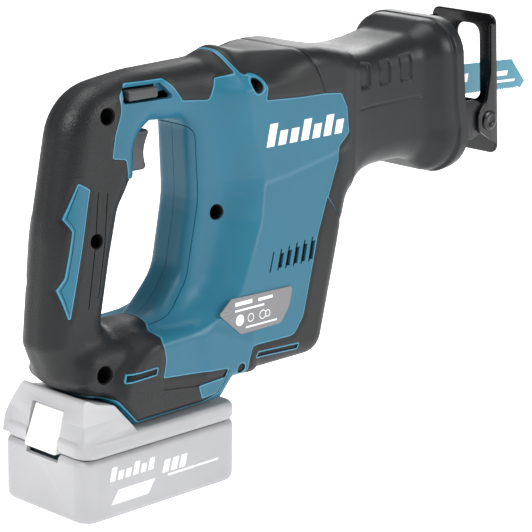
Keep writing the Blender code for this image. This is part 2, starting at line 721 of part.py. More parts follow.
def build_blade(paint, travel):
    """A tang in the slider's slot, and a toothed blade that points slightly down."""
    tooth = 2.54
    half = BLADE_HEIGHT / 2
    cosine, sine = math.cos(BLADE_RAKE), math.sin(BLADE_RAKE)
    length = (TIP_X - 322.0 + (2 * half - 4.5) * sine) / cosine
    lower = []
    count = int((length - 12.0) / tooth)
    for k in range(count):
        lower.append((8.0 + k * tooth, -half))
        lower.append((8.0 + (k + 0.35) * tooth, -half + 1.5))
    outline = [(0.0, half), (-2.5, 5.6), (-20.0, 5.6), (-20.0, -5.6), (-2.5, -5.6), (0.0, -half)]
    outline = outline + lower + [(length - 4.0, -half), (length, -half + 4.5), (length - 15.0, half)]
    placed = []
    for x, z in outline:
        if x < 0:
            placed.append((322.0 + x, SLIDER_Z + z))
        else:
            placed.append((322.0 + x * cosine + (z - half) * sine, SLIDER_Z + half + (z - half) * cosine - x * sine))
    blade = prism("blade", placed, -BLADE_SHEET / 2, BLADE_SHEET / 2, material=paint, parent=travel)
    cut(blade, rod("tang_hole", 2.3, -3.0, 3.0, (308.0, 0.0, SLIDER_Z), "Y", 12))


# ---------------------------------------------------------------- shoe


def build_shoe():
    black = make_material("shoe_steel", BLACK, 0.22, 0.7)
    rivet_steel = make_material("rivet_steel", (0.03, 0.03, 0.032), 0.3, 0.9)
    slide = pivot("shoe_slide_axis", 260.0, 0.0, 176.5)
    arm = block("shoe_bracket", (222.0, 306.0), (-12.0, 12.0), (173.8, 179.2), black, slide)
    join(arm, block("bracket_web", (300.0, 334.0), (-23.9, 23.9), (173.8, 177.0)))
    ear = [(302.0, 173.8, 1.0), (336.0, 172.0, 5.0), (353.4, 176.5, 6.0), (353.4, 189.5, 6.0),
           (338.0, 197.5, 8.0), (326.0, 197.5, 6.0), (310.0, 190.0, 6.0), (302.0, 186.0, 2.0)]
    for side in (-1, 1):
        low, high = sorted((side * 21.7, side * 23.9))
        join(arm, prism(f"bracket_ear_{side}", round_outline(ear), low, high))
    cut(arm, rod("bracket_pin_hole", 3.8, -40.0, 40.0, (SHOE_PIVOT_X, 0.0, SHOE_PIVOT_Z), "Y", 16))

    tilt = pivot("shoe_tilt_axis", SHOE_PIVOT_X, 0.0, SHOE_PIVOT_Z, slide)
    front = 9.1
    low = SHOE_LOW - SHOE_PIVOT_Z
    high = SHOE_HIGH - SHOE_PIVOT_Z
    edge = [(-SHOE_HALF, low, 6.0), (SHOE_HALF, low, 6.0), (SHOE_HALF, high, 6.0), (-SHOE_HALF, high, 6.0)]
    window = [(-13.0, 10.0, 5.0), (5.5, 10.0, 5.0), (5.5, 60.0, 5.0), (-13.0, 60.0, 5.0)]
    plate = prism("shoe_plate", round_outline(edge), front - SHOE_SHEET, front, "X", round_outline(window))
    show(plate, black)
    flange = [(3.2, high - 5.0, 1.0), (3.0, 32.0, 12.0), (-1.5, 13.0, 8.0), (-10.5, 6.0, 4.0),
              (-10.5, -4.0, 5.0), (0.0, -12.5, 6.0), (front - 0.4, low + 5.0, 0.0), (front - 0.4, high - 5.0, 0.0)]
    for side in (-1, 1):
        y_low, y_high = sorted((side * (SHOE_HALF - SHOE_SHEET), side * SHOE_HALF))
        join(plate, prism(f"shoe_flange_{side}", round_outline(flange), y_low, y_high))
    cut(plate, rod("shoe_pin_hole", 3.8, -40.0, 40.0, (0.0, 0.0, 0.0), "Y", 16))
    plate.parent = tilt
    plate.rotation_euler = (0.0, -SHOE_LEAN, 0.0)
    for modifier in plate.modifiers:
        modifier.object.parent = plate  # the flanges and the pin hole lean with the plate
    for name, side in (("right", -1), ("left", 1)):
        profile = [(0.0, 20.2), (5.2, 20.2), (5.2, 21.4), (3.5, 21.4), (3.5, 26.7), (6.4, 26.7),
                   (5.6, 28.3), (0.0, 28.3)]
        if side < 0:
            profile = [(r, -h) for r, h in reversed(profile)]
        turned(f"shoe_rivet_{name}", profile, (SHOE_PIVOT_X, 0.0, SHOE_PIVOT_Z), "Y", 20, rivet_steel, tilt)


# ---------------------------------------------------------------- controls and electrics


def build_controls():
    rubber = make_material("trigger_rubber", CHARCOAL, 0.5)
    black = make_material("switch_plastic", BLACK, 0.5)
    board = make_material("controller_potting", (0.03, 0.05, 0.04), 0.4)
    brass = make_material("terminal_brass", (0.6, 0.45, 0.2), 0.35, 0.9)
    block("switch_body", (8.0, 36.0), (-8.0, 8.0), (187.0, 212.0), black)
    squeeze = pivot("trigger_axis", 55.0, 0.0, 201.0)
    outline = [(44.0, 189.6, 1.0), (66.5, 189.6, 3.0), (62.5, 200.0, 16.0), (68.5, 213.2, 2.0), (44.0, 213.2, 1.0)]
    pillow("trigger", outline, 9.6, 2.5, material=rubber, parent=squeeze)
    press = pivot("lock_off_axis", 55.0, 0.0, 235.5)
    block("lock_off_button", (44.0, 66.0), (-18.2, 18.2), (232.4, 238.6), rubber, press)
    block("controller", (50.0, 92.0), (-14.0, 14.0), (74.0, 88.0), board)
    terminals = block("terminal_block", (74.0, 100.0), (-16.0, 16.0), (58.6, 64.5), brass)
    for side in (-1, 1):
        y = 10.0 * side
        join(terminals, block(f"terminal_blade_{side}", (76.0, 96.0), (y - 0.6, y + 0.6), (53.5, 60.0)))


# ---------------------------------------------------------------- battery


def rounded_box(name, x, half, z, radius, material=None, parent=root):
    outline = [(x[0], -half, radius), (x[1], -half, radius), (x[1], half, radius), (x[0], half, radius)]
    return prism(name, round_outline(outline), z[0], z[1], "Z", material=material, parent=parent)


def build_battery():
    shell = make_material("battery_plastic", PALE_GREY, 0.5)
    white = make_material("button_plastic", WHITE, 0.45)
    cell = make_material("cell_wrap", (0.12, 0.14, 0.16), 0.5)
    slide = pivot("battery_axis", 55.0, 0.0, BATTERY_SHOULDER)
    case = rounded_box("battery_case", (BATTERY_REAR, BATTERY_FRONT), BATTERY_HALF,
                       (0.0, BATTERY_PARTING - GAP), 11.0, shell, slide)
    cut(case, rounded_box("case_hollow", (BATTERY_REAR + 3.0, BATTERY_FRONT - 3.0), BATTERY_HALF - 3.0,
                          (2.6, 60.0), 8.0))
    cut(case, block("button_pocket", (-20.0, 1.5), (-13.6, 13.6), (32.5, 60.0)))
    pack = None
    for row in range(2):
        for k in range(5):
            at = (10.5 + 22.0 * k, 0.0, 11.6 + 17.2 * row)
            material = cell if pack is None else None
            tube = rod("cell_pack" if pack is None else f"cell_{row}_{k}", 8.5, -32.5, 32.5, at, "Y", 12,
                       material, slide if pack is None else root)
            pack = tube if pack is None else join(pack, tube)
    join(pack, block("cell_holder", (2.5, 106.0), (-26.0, 26.0), (4.0, 36.0)))

    lid = rounded_box("battery_lid", (BATTERY_REAR, BATTERY_FRONT), BATTERY_HALF,
                      (BATTERY_PARTING, BATTERY_SHOULDER), 11.0, shell, slide)
    hump_side = [(BATTERY_REAR + 0.2, 44.0), (36.0, 44.0), (36.0, 47.5), (33.0, 48.2), (22.6, 63.9),
                 (11.0, 66.4), (3.0, 71.0), (-1.0, 58.0)]
    hump = prism("battery_hump", hump_side, -60.0, 60.0)
    keep_inside(hump, prism("hump_taper", [(-35.5, 40.0), (35.5, 40.0), (35.5, 46.0), (23.0, 76.0),
                                           (-23.0, 76.0), (-35.5, 46.0)], -20.0, 60.0, "X"))
    join(lid, hump, block("battery_tongue", (34.0, 110.0), (-22.0, 22.0), (46.0, 56.5)))
    for side in (-1, 1):
        y = 10.0 * side
        cut(lid, block(f"terminal_slot_{side}", (74.0, 130.0), (y - 1.6, y + 1.6), (50.0, 70.0)))
    cut(lid, block("button_well", (-20.0, 12.0), (-13.6, 13.6), (30.0, 62.0)))
    press = pivot("battery_button_axis", 0.0, 0.0, 50.0, slide)
    outline = [(-9.0, BATTERY_PARTING - 0.5, 1.5), (0.5, BATTERY_PARTING - 0.5, 1.0), (4.0, 46.0, 1.0),
               (11.4, 49.0, 1.0), (11.4, 61.4, 1.0), (1.0, 61.4, 2.0)]
    pillow("battery_button", outline, 13.2, 1.0, material=white, parent=press)


build_housing()
build_screws()
build_label()
build_boot()
build_gear_housing()
build_motor()
build_crank()
build_slider()
build_shoe()
build_controls()
build_battery()
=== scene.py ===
"""Looks of the cordless reciprocating saw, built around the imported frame.

Lengths are millimetres in the saw's own frame: X from the grip to the blade with 0 just in front
of the battery's rear edge, Y to the left, Z up from the battery's foot. The housing is one distance
field on a grid, so that its big shapes flow into each other; it is meshed at several depths,
and the shells, skins, grooves and holes are then cut out of it with sharp edges.
"""

from math import acos, atan2, ceil, cos, pi, radians, sin, tan, tau

import bmesh
import bpy
import numpy as np
import openvdb
from mathutils import Matrix, Vector


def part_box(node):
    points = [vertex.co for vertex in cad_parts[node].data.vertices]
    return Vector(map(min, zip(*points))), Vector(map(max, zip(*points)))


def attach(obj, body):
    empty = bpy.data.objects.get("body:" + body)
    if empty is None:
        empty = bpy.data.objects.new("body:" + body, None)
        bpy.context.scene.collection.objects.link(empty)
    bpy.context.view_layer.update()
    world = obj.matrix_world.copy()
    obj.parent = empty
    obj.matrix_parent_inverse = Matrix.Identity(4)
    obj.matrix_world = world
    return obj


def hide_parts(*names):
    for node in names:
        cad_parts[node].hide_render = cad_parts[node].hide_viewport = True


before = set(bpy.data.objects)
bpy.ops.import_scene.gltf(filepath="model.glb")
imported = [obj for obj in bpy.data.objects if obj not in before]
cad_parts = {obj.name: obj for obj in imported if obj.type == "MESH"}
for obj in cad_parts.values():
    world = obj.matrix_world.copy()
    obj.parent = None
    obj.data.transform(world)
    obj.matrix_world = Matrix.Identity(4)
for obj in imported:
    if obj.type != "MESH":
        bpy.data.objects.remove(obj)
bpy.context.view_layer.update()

MM = 0.001
GAP = 0.3
SHARP_ANGLE = 35.0  # degrees between two faces from which their edge is drawn sharp
FAR = 60.0  # past the saw's widest point on either side
BATTERY_REAR = -6.0
ORIGIN_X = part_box("battery_case")[0].x / MM - BATTERY_REAR  # world X of the saw's X = 0, in mm


def linked(name, data):
    """A new object in the scene."""
    obj = bpy.data.objects.new(name, data)
    bpy.context.scene.collection.objects.link(obj)
    return obj


def set_values(node, **values):
    """Sets a node's inputs by their names."""
    for socket, value in values.items():
        node.inputs[socket.replace("_", " ")].default_value = value


def shade(mesh, angle=SHARP_ANGLE):
    mesh.shade_smooth()
    mesh.set_sharp_from_angle(angle=radians(angle))


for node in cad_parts.values():
    shade(node.data)


# ---- materials


def plastic(name, color, roughness, grain=0, grain_size=0.6, blotch=0.06, metallic=0,
            edge_wear_and_highlight=0, streak=0, coat=0, coat_roughness=0.1, specular=0.5):
    """A Principled material with fine grain, soft colour variation, lightened edges and streaks.

    grain is the bump height in mm and grain_size its spacing in mm; blotch is how far the colour
    and gloss vary over centimetres; the wear setting lightens convex edges, partly as rubbed edges
    and partly as a painted highlight; streak adds brushed lines along X.
    """
    material = bpy.data.materials.new(name)
    material.use_nodes = True
    nodes, links = material.node_tree.nodes, material.node_tree.links
    shader = nodes["Principled BSDF"]
    set_values(shader, Metallic=metallic, Coat_Weight=coat, Coat_Roughness=coat_roughness,
               Specular_IOR_Level=specular)
    place = nodes.new("ShaderNodeTexCoord")

    def node(kind, **values):
        made = nodes.new("ShaderNode" + kind)
        set_values(made, **values)
        return made

    def noise(size, detail, stretch=(1, 1, 1)):
        scaling = node("Mapping", Scale=tuple(s / (size * MM) for s in stretch))
        links.new(place.outputs["Object"], scaling.inputs["Vector"])
        texture = node("TexNoise", Scale=1.0, Detail=detail)
        links.new(scaling.outputs["Vector"], texture.inputs["Vector"])
        return texture.outputs["Fac"]

    def ramp(source, low, high, start=0.3, end=0.7):
        spread = node("MapRange", From_Min=start, From_Max=end, To_Min=low, To_Max=high)
        links.new(source, spread.inputs["Value"])
        return spread.outputs["Result"]

    def mixed(factor, first, second):
        """A blend of two colours; the first may be a socket."""
        mix = nodes.new("ShaderNodeMix")
        mix.data_type = "RGBA"
        links.new(factor, mix.inputs["Factor"])
        if isinstance(first, tuple):
            mix.inputs["A"].default_value = first
        else:
            links.new(first, mix.inputs["A"])
        mix.inputs["B"].default_value = second
        return mix.outputs["Result"]

    broad = noise(38, 3)
    tint = mixed(ramp(broad, 0, 1), (*[c * (1 - blotch) for c in color], 1),
                 (*[min(1, c * (1 + blotch)) for c in color], 1))
    fine = noise(grain_size, 2, (0.05, 1, 1) if streak else (1, 1, 1))
    # Convex edges are lightened, partly as rubbed edges and partly as a painted edge highlight.
    if edge_wear_and_highlight:
        pointiness = nodes.new("ShaderNodeNewGeometry").outputs["Pointiness"]
        edge = ramp(pointiness, 0, edge_wear_and_highlight, 0.52, 0.60)
        tint = mixed(edge, tint, (*[min(1, 0.12 + 1.5 * c) for c in color], 1))
    links.new(tint, shader.inputs["Base Color"])
    gloss = nodes.new("ShaderNodeMath")
    gloss.operation = "ADD"
    links.new(ramp(broad, roughness - 0.05, roughness + 0.05), gloss.inputs[0])
    links.new(ramp(fine, -0.06, 0.06), gloss.inputs[1])
    links.new(gloss.outputs["Value"], shader.inputs["Roughness"])
    if grain:
        bump = node("Bump", Strength=1.0, Distance=grain * MM)
        links.new(fine, bump.inputs["Height"])
        links.new(bump.outputs["Normal"], shader.inputs["Normal"])
    return material


TEAL = (0.014, 0.122, 0.190)
# The lighter teal of the shell's raised edges is a painted highlight where they catch the light.
TEAL_RIM_PAINTED_HIGHLIGHT = (0.045, 0.215, 0.320)
CHARCOAL = (0.009, 0.0095, 0.0105)
BOOT = (0.008, 0.009, 0.0105)
BLACK = (0.010, 0.010, 0.011)
STEEL = (0.560, 0.570, 0.590)
DARK_STEEL = (0.190, 0.195, 0.205)

teal = plastic("teal_shell", TEAL, 0.40, grain=0.03, grain_size=0.5, edge_wear_and_highlight=0.05, specular=0.35)
# The raised edges' material: the shell teal lightened as a painted highlight.
teal_rim_painted_highlight = plastic("teal_rim_painted_highlight", TEAL_RIM_PAINTED_HIGHLIGHT, 0.38, grain=0.015, grain_size=0.45)
rubber = plastic("grip_elastomer", CHARCOAL, 0.42, grain=0.26, grain_size=0.9, edge_wear_and_highlight=0.03, specular=0.3)
cover_rubber = plastic("cover_elastomer", CHARCOAL, 0.46, grain=0.08, grain_size=0.8, edge_wear_and_highlight=0.03,
                       specular=0.3)
boot_rubber = plastic("boot_elastomer", BOOT, 0.42, grain=0.03, grain_size=0.9, edge_wear_and_highlight=0.03, specular=0.3)
gloss_black = plastic("gloss_black_paint", (0.004, 0.004, 0.005), 0.22, grain=0.006, grain_size=0.9,
                      edge_wear_and_highlight=0.05, coat=0.15, coat_roughness=0.1, specular=0.3)
satin_black = plastic("satin_black_steel", (0.012, 0.012, 0.014), 0.30, grain=0.01, metallic=0.3,
                      edge_wear_and_highlight=0.15, specular=0.4)
screw_black = plastic("blacked_screw", (0.045, 0.045, 0.050), 0.28, grain=0.01, metallic=0.9)
control_grey = plastic("trigger_plastic", (0.018, 0.019, 0.022), 0.36, grain=0.02, edge_wear_and_highlight=0.15)
blade_teal = plastic("blade_paint", (0.045, 0.200, 0.275), 0.34, grain=0.008, grain_size=0.4,
                     edge_wear_and_highlight=0.3, blotch=0.04)
print_white = plastic("white_print", (0.80, 0.81, 0.80), 0.45, grain=0.004)
label_film = plastic("label_film", (0.17, 0.17, 0.18), 0.34, grain=0.006, metallic=0.35,
                     streak=1, grain_size=0.5)
battery_grey = plastic("battery_plastic", (0.36, 0.36, 0.37), 0.46, grain=0.03, grain_size=0.5,
                       edge_wear_and_highlight=0.2)
button_white = plastic("battery_button_plastic", (0.74, 0.74, 0.71), 0.40, grain=0.02)
steel = plastic("ground_steel", STEEL, 0.28, grain=0.01, metallic=1, streak=1, grain_size=0.3)
gear_steel = plastic("gear_steel", DARK_STEEL, 0.34, grain=0.01, metallic=1)
aluminium = plastic("cast_aluminium", (0.58, 0.59, 0.60), 0.45, grain=0.10, grain_size=0.8,
                    metallic=0.9)
bronze = plastic("sintered_bronze", (0.46, 0.29, 0.13), 0.46, grain=0.03, metallic=0.9)
copper = plastic("winding", (0.56, 0.23, 0.10), 0.35, grain=0.15, grain_size=0.9, metallic=0.9,
                 streak=1)
felt = plastic("felt", BLACK, 0.95, grain=0.25, grain_size=0.4)
nylon = plastic("black_nylon", (0.004, 0.004, 0.0045), 0.5, grain=0.02, specular=0.2)
potting = plastic("potting", (0.03, 0.05, 0.04), 0.30, grain=0.05, grain_size=3)
cell_wrap = plastic("cell_wrap", (0.10, 0.16, 0.20), 0.35, grain=0.01)
brass = plastic("brass", (0.60, 0.45, 0.20), 0.34, grain=0.01, metallic=1)

CAD_LOOKS = {
    aluminium: ["gear_housing"],
    steel: ["gear_housing_cover", "motor_bearing_top", "motor_bearing_bottom", "crank_bearing",
            "rotor_shaft", "slider_shaft"],
    gear_steel: ["crank_gear", "rotor_core"],
    bronze: ["slider_bush_rear", "slider_bush_front"],
    felt: ["slider_seal"],
    copper: ["stator"],
    nylon: ["fan", "switch_body"],
    potting: ["controller"],
    brass: ["terminal_block"],
    cell_wrap: ["cell_pack"],
    screw_black: ["clamp_pin"],
}
for look, names in CAD_LOOKS.items():
    for name in names:
        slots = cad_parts[name].data.materials
        slots.clear()
        slots.append(look)


# ---- meshes


def place(mesh):
    """From the saw's millimetres to the frame's metres."""
    mesh.transform(Matrix.Scale(MM, 4) @ Matrix.Translation((ORIGIN_X, 0, 0)))


def make_object(name, vertices, faces, smooth=SHARP_ANGLE):
    mesh = bpy.data.meshes.new(name)
    mesh.from_pydata(vertices, [], faces)
    mesh.validate()
    place(mesh)
    return wrap(name, mesh, smooth)


def on_faces(mesh, operator):
    """Runs a bmesh operator on all faces of a mesh."""
    shape = bmesh.new()
    shape.from_mesh(mesh)
    operator(shape, faces=shape.faces[:])
    shape.to_mesh(mesh)
    shape.free()


def wrap(name, mesh, smooth=SHARP_ANGLE):
    on_faces(mesh, bmesh.ops.triangulate)
    shade(mesh, smooth)
    return linked(name, mesh)


def mesh_of(shape):
    """The bmesh as a mesh; the bmesh is used up."""
    mesh = bpy.data.meshes.new("piece")
    shape.to_mesh(mesh)
    shape.free()
    return mesh


def from_bmesh(name, shape, smooth=SHARP_ANGLE):
    bmesh.ops.recalc_face_normals(shape, faces=shape.faces)
    mesh = mesh_of(shape)
    place(mesh)
    return wrap(name, mesh, smooth)


def bake(obj):
    """Applies the object's modifiers to its mesh."""
    graph = bpy.context.evaluated_depsgraph_get()
    mesh = bpy.data.meshes.new_from_object(obj.evaluated_get(graph))
    on_faces(mesh, bmesh.ops.triangulate)
    obj.modifiers.clear()
    obj.data = mesh
    return obj


def combine(obj, operation, other, solver):
    modifier = obj.modifiers.new(operation, "BOOLEAN")
    modifier.operation = operation
    modifier.solver = solver
    modifier.object = other
    bake(obj)
    bpy.data.objects.remove(other)


def boolean(obj, operation, others, solver):
    """One operation on a mesh with the union of others, which are used up."""
    tool = others[0]
    for other in others[1:]:
        combine(tool, "UNION", other, solver)
    combine(obj, operation, tool, solver)
    shade(obj.data)
    return obj


def cut(obj, *others, solver="MANIFOLD"):
    return boolean(obj, "DIFFERENCE", others, solver)


def crop(obj, *others, solver="MANIFOLD"):
    return boolean(obj, "INTERSECT", others, solver)


def add(obj, *others, solver="MANIFOLD"):
    return boolean(obj, "UNION", others, solver)


def copy_of(obj):
    return linked("copy", obj.data.copy())


def finish_piece(obj, name, material, body, slot, *nodes):
    """Names and paints a piece, says what it rides on and hides what it replaces; the colour slot is not
    used.
    """
    obj.name = name
    obj.data.materials.clear()
    obj.data.materials.append(material)
    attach(obj, body)
    if nodes:
        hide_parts(*nodes)


def join_all(parts):
    """Several separate meshes as one object."""
    shape = bmesh.new()
    for part in parts:
        shape.from_mesh(part.data)
        bpy.data.objects.remove(part)
    return wrap("joined", mesh_of(shape))


def corner_data(points, index):
    """Unit vectors to both neighbours of a corner, and its turn (+ is convex)."""
    here = np.array(points[index][:2])
    back = np.array(points[index - 1][:2]) - here
    ahead = np.array(points[(index + 1) % len(points)][:2]) - here
    back = back / np.hypot(*back)
    ahead = ahead / np.hypot(*ahead)
    return back, ahead, back[1] * ahead[0] - back[0] * ahead[1]


def inset(points, depth):
    """Moves every side of a counter-clockwise outline of (a, b, radius) corners inwards."""
    moved = []
    for index, (a, b, radius) in enumerate(points):
        back, ahead, turn = corner_data(points, index)
        shift = (back + ahead) / turn
        grown = radius - depth if turn > 0 else radius + depth
        moved.append((a + depth * shift[0], b + depth * shift[1], max(grown, 0)))
    return moved


def rounded(points, step=radians(9), keep_count=False):
    """The outline with its corners as arcs. keep_count gives insets of one outline equal counts."""
    result = []
    for index, (a, b, radius) in enumerate(points):
        if keep_count:
            radius = max(radius, 0.05)
        elif radius < 0.05:
            result.append((a, b))
            continue
        back, ahead, turn = corner_data(points, index)
        angle = acos(max(-1, min(1, float(back @ ahead))))
        bisector = (back + ahead) / np.hypot(*(back + ahead))
        centre = np.array((a, b)) + bisector * radius / sin(angle / 2)
        start = np.array((a, b)) + back * radius / tan(angle / 2) - centre
        first = atan2(start[1], start[0])
        sweep = (pi - angle) * (1 if turn > 0 else -1)
        count = max(1, ceil(abs(sweep) / step - 1e-6))
        for k in range(count + 1):
            theta = first + sweep * k / count
            result.append((centre[0] + radius * cos(theta), centre[1] + radius * sin(theta)))
    return result


ORDER = {"X": (2, 0, 1), "Y": (0, 2, 1), "Z": (0, 1, 2)}


def oriented(a, b, depth, axis):
    """A point from its place (a, b) in the outline's plane and its depth along the axis."""
    values = (a, b, depth)
    return tuple(values[i] for i in ORDER[axis])


def prism(name, outline, low, high, axis="Y", smooth=SHARP_ANGLE):
    """An extruded outline: in XZ for axis Y, in YZ for axis X, in XY for axis Z."""
    shape = bmesh.new()
    corners = [shape.verts.new(oriented(a, b, low, axis)) for a, b in outline]
    edges = [shape.edges.new((corners[i - 1], corners[i])) for i in range(len(corners))]
    bmesh.ops.triangle_fill(shape, edges=edges, use_beauty=True, use_dissolve=False)
    side = bmesh.ops.extrude_face_region(shape, geom=shape.faces[:])
    moved = [item for item in side["geom"] if isinstance(item, bmesh.types.BMVert)]
    bmesh.ops.translate(shape, verts=moved, vec=oriented(0, 0, high - low, axis))
    return from_bmesh(name, shape, smooth)


def pillow(name, outline, low, high, radius, axis="Y", steps=5, hole=None, smooth=SHARP_ANGLE):
    """An extruded outline whose rims are rounded with quarter circles."""
    shape = bmesh.new()
    layers = []
    for k in range(steps + 1):
        turn = pi / 2 * k / steps
        layers.append((low + radius * (1 - sin(turn)), radius * (1 - cos(turn))))
    layers = layers[::-1] + [(low + high - depth, shrink) for depth, shrink in layers]
    caps = ([], [])
    for loop, sign in ((outline, 1), (hole, -1)):
        if loop is None:
            continue
        rows = []
        for depth, shrink in layers:
            points = rounded(inset(loop, sign * shrink), keep_count=True)
            rows.append([shape.verts.new(oriented(a, b, depth, axis)) for a, b in points])
        for lower, upper in zip(rows, rows[1:]):
            for i in range(len(lower)):
                shape.faces.new((lower[i - 1], lower[i], upper[i], upper[i - 1]))
        for rim, edges in ((rows[0], caps[0]), (rows[-1], caps[1])):
            edges.extend(shape.edges.get((rim[i - 1], rim[i])) for i in range(len(rim)))
    for edges in caps:
        bmesh.ops.triangle_fill(shape, edges=edges, use_beauty=True, use_dissolve=False)
    return from_bmesh(name, shape, smooth)


def rectangle(across, up, radius=0):
    """The corners of a rectangle between two (low, high) ranges."""
    return [(across[0], up[0], radius), (across[1], up[0], radius),
            (across[1], up[1], radius), (across[0], up[1], radius)]


def block(name, x, y, z, radius=0):
    outline = rectangle(x, z, radius)
    return pillow(name, outline, *y, radius) if radius else prism(name, rounded(outline), *y)


TURNS = {
    "X": Matrix.Rotation(pi / 2, 4, "Y"),
    "Y": Matrix.Rotation(-pi / 2, 4, "X"),
    "Z": Matrix.Identity(4),
}


def turned(name, profile, centre, axis="Z", steps=64, ripple=None, smooth=SHARP_ANGLE):
    """Turns a closed (radius, height) profile about an axis; ripple(theta) adds to the radius."""
    shape = bmesh.new()
    rings = []
    for k in range(steps):
        theta = tau * k / steps
        extra = ripple(theta) if ripple else 0.0
        radii = [r + extra * (r > 0) for r, _ in profile]
        rings.append([shape.verts.new((r * cos(theta), r * sin(theta), h))
                      for r, (_, h) in zip(radii, profile)])
    for k in range(steps):
        ring, following = rings[k], rings[(k + 1) % steps]
        for i in range(len(profile)):
            j = (i + 1) % len(profile)
            shape.faces.new((ring[i], following[i], following[j], ring[j]))
    bmesh.ops.remove_doubles(shape, verts=shape.verts, dist=1e-4)
    shape.transform(Matrix.Translation(centre) @ TURNS[axis])
    return from_bmesh(name, shape, smooth)


def rod(name, radius, low, high, centre, axis="Y", steps=32):
    return turned(name, [(0, low), (radius, low), (radius, high), (0, high)], centre, axis, steps)


# ---- housing field

GRIP_HALF = 17.5
BODY_HALF = 34.0
SHOULDER_HALF = 26.0
NOSE_X = 214.0
FACET = 6.0
SKIN = 1.7  # thickness of the rubber
PROUD = 0.45  # how far the rubber stands above the teal shell
WALL = 3.6

FRAME_OUTLINE = [
    (-4, 79, 5), (14, 68, 5), (100, 64, 5), (128, 90, 4),
    (128, 248, 3), (60, 246, 60), (8, 240, 34), (-6.2, 165, 90),
    (-11.9, 98, 8),
]
OPENING_OUTLINE = [
    (29, 102.5, 7), (70, 102.5, 26), (88, 124, 26), (95.8, 168, 60),
    (92.6, 217, 9), (67, 217, 3), (56, 209, 13), (55, 184.5, 1.2),
    (51.5, 184.5, 1.2), (43, 171, 20), (37, 146, 60),
]
BODY_OUTLINE = [
    (84, 61.5, 4), (189, 61.5, 14), (207, 138, 60), (213, 157.5, 12),
    (240, 167, 0), (240, 239.5, 0), (212, 243.2, 40), (188, 248.5, 40),
    (160, 249, 60), (118, 249, 14), (112, 226, 18), (124, 172, 60),
    (112, 122, 24), (78, 94, 10),
]
BASE_OUTLINE = [
    (24, 65.5, 4), (35, 49.5, 1.5), (104, 50.5, 4), (114, 61.6, 3),
    (134, 61.6, 4), (130, 84, 8), (96, 98, 20), (48, 96, 24),
    (28, 80, 10),
]
SHOULDER_OUTLINE = [
    (2, 77, 4), (13, 67.6, 5), (26, 65.8, 4), (60, 70, 4),
    (60, 99, 12), (8, 94, 12),
]
# The flat side panel; behind it the side falls away in a narrow facet and then a hollow.
PANEL_OUTLINE = [
    (260, 40, 0), (260, 270, 0), (120, 270, 0), (120.5, 232, 0),
    (126, 205, 8), (135.5, 179, 3), (133, 152, 6), (118, 113, 10),
    (104, 100, 8), (60, 92, 0), (60, 40, 0),
]
CREASE_LINE = [(134, 176.5), (158, 179.5), (180, 183.5), (199, 187), (240, 192)]

REAR_REGION = [
    (-30, 64, 0), (12, 70.2, 3), (24.5, 66.6, 3), (36.8, 52.4, 2),
    (87.5, 52.6, 1), (99.3, 55.8, 2.5), (107, 68.6, 1), (55.6, 73.4, 1),
    (57.6, 84, 6), (55.5, 95, 3), (62.4, 100, 2), (60, 112, 0),
    (46, 130, 0), (48, 187, 1), (44.4, 188.6, 1.5), (42.2, 199.6, 2),
    (32.4, 201.2, 2), (34.4, 214.5, 6), (38.4, 226, 6), (38.4, 236, 4),
    (45.5, 242.2, 3), (72.3, 242.2, 3), (77.6, 238, 2), (85.4, 228.3, 2),
    (104.6, 226.4, 2), (109, 238.3, 1.5), (120.6, 240.4, 1), (119.8, 246.4, 6),
    (117, 270, 0), (-30, 270, 0),
]
COVER_REGION = [
    (124.6, 239.6, 2), (133.5, 238.6, 5), (137.6, 232, 4), (136.4, 224.4, 0.5),
    (164.6, 222.8, 0), (185.4, 222.4, 0), (181, 231.6, 12), (173.4, 244.4, 12),
    (160, 270, 0), (119.6, 270, 0), (122.6, 246.6, 6),
]
COLLAR_REGION = [
    (185.8, 222.4, 0), (199.6, 221, 2), (205.6, 211.2, 3), (208.2, 195.4, 2),
    (198.8, 188.3, 2), (199.5, 179.8, 4), (191.4, 158.4, 0), (203.6, 142.2, 0),
    (240, 142.2, 0), (240, 270, 0), (160.6, 270, 0), (173.9, 244.6, 12),
    (181.5, 231.8, 12),
]
BUMPER_REGION = [
    (124, 40, 0), (240, 40, 0), (240, 141.8, 0), (203.4, 141.8, 0),
    (190.4, 158, 0), (182, 136.4, 0), (170.5, 88, 8), (162.5, 77.6, 8),
    (127, 78, 2), (124.2, 69.5, 2),
]
INLAY_REGION = [
    (8.6, 191.6, 1), (-0.6, 172, 1.5), (3.6, 165, 2), (-1.4, 139.5, 1.5),
    (-5.4, 132.5, 0.8), (0.6, 112.5, 1), (16.8, 186.8, 1),
]

SCREW_PLACES = [(29, 226), (20, 157), (18, 82), (112, 159), (130, 233)]
WELL_RADII = [5.2, 4.6, 5.6, 4.8, 4.2]
POST_REACHES = [16, 16, 24, 16, 31]
SHANK_HOLE = 2.3
SCREW_STEPS = 40

PITCH = 0.9  # spacing of the field's grid
FIELD_REACH = 5.0  # the field is kept only this near the surface
grid_x = np.arange(-18, 220, PITCH, dtype=np.float32)
grid_z = np.arange(44, 256, PITCH, dtype=np.float32)
half_y = (np.arange(int(40.0 / PITCH), dtype=np.float32) + 0.5) * PITCH
FLAT_X, FLAT_Z = np.meshgrid(grid_x, grid_z, indexing="ij")


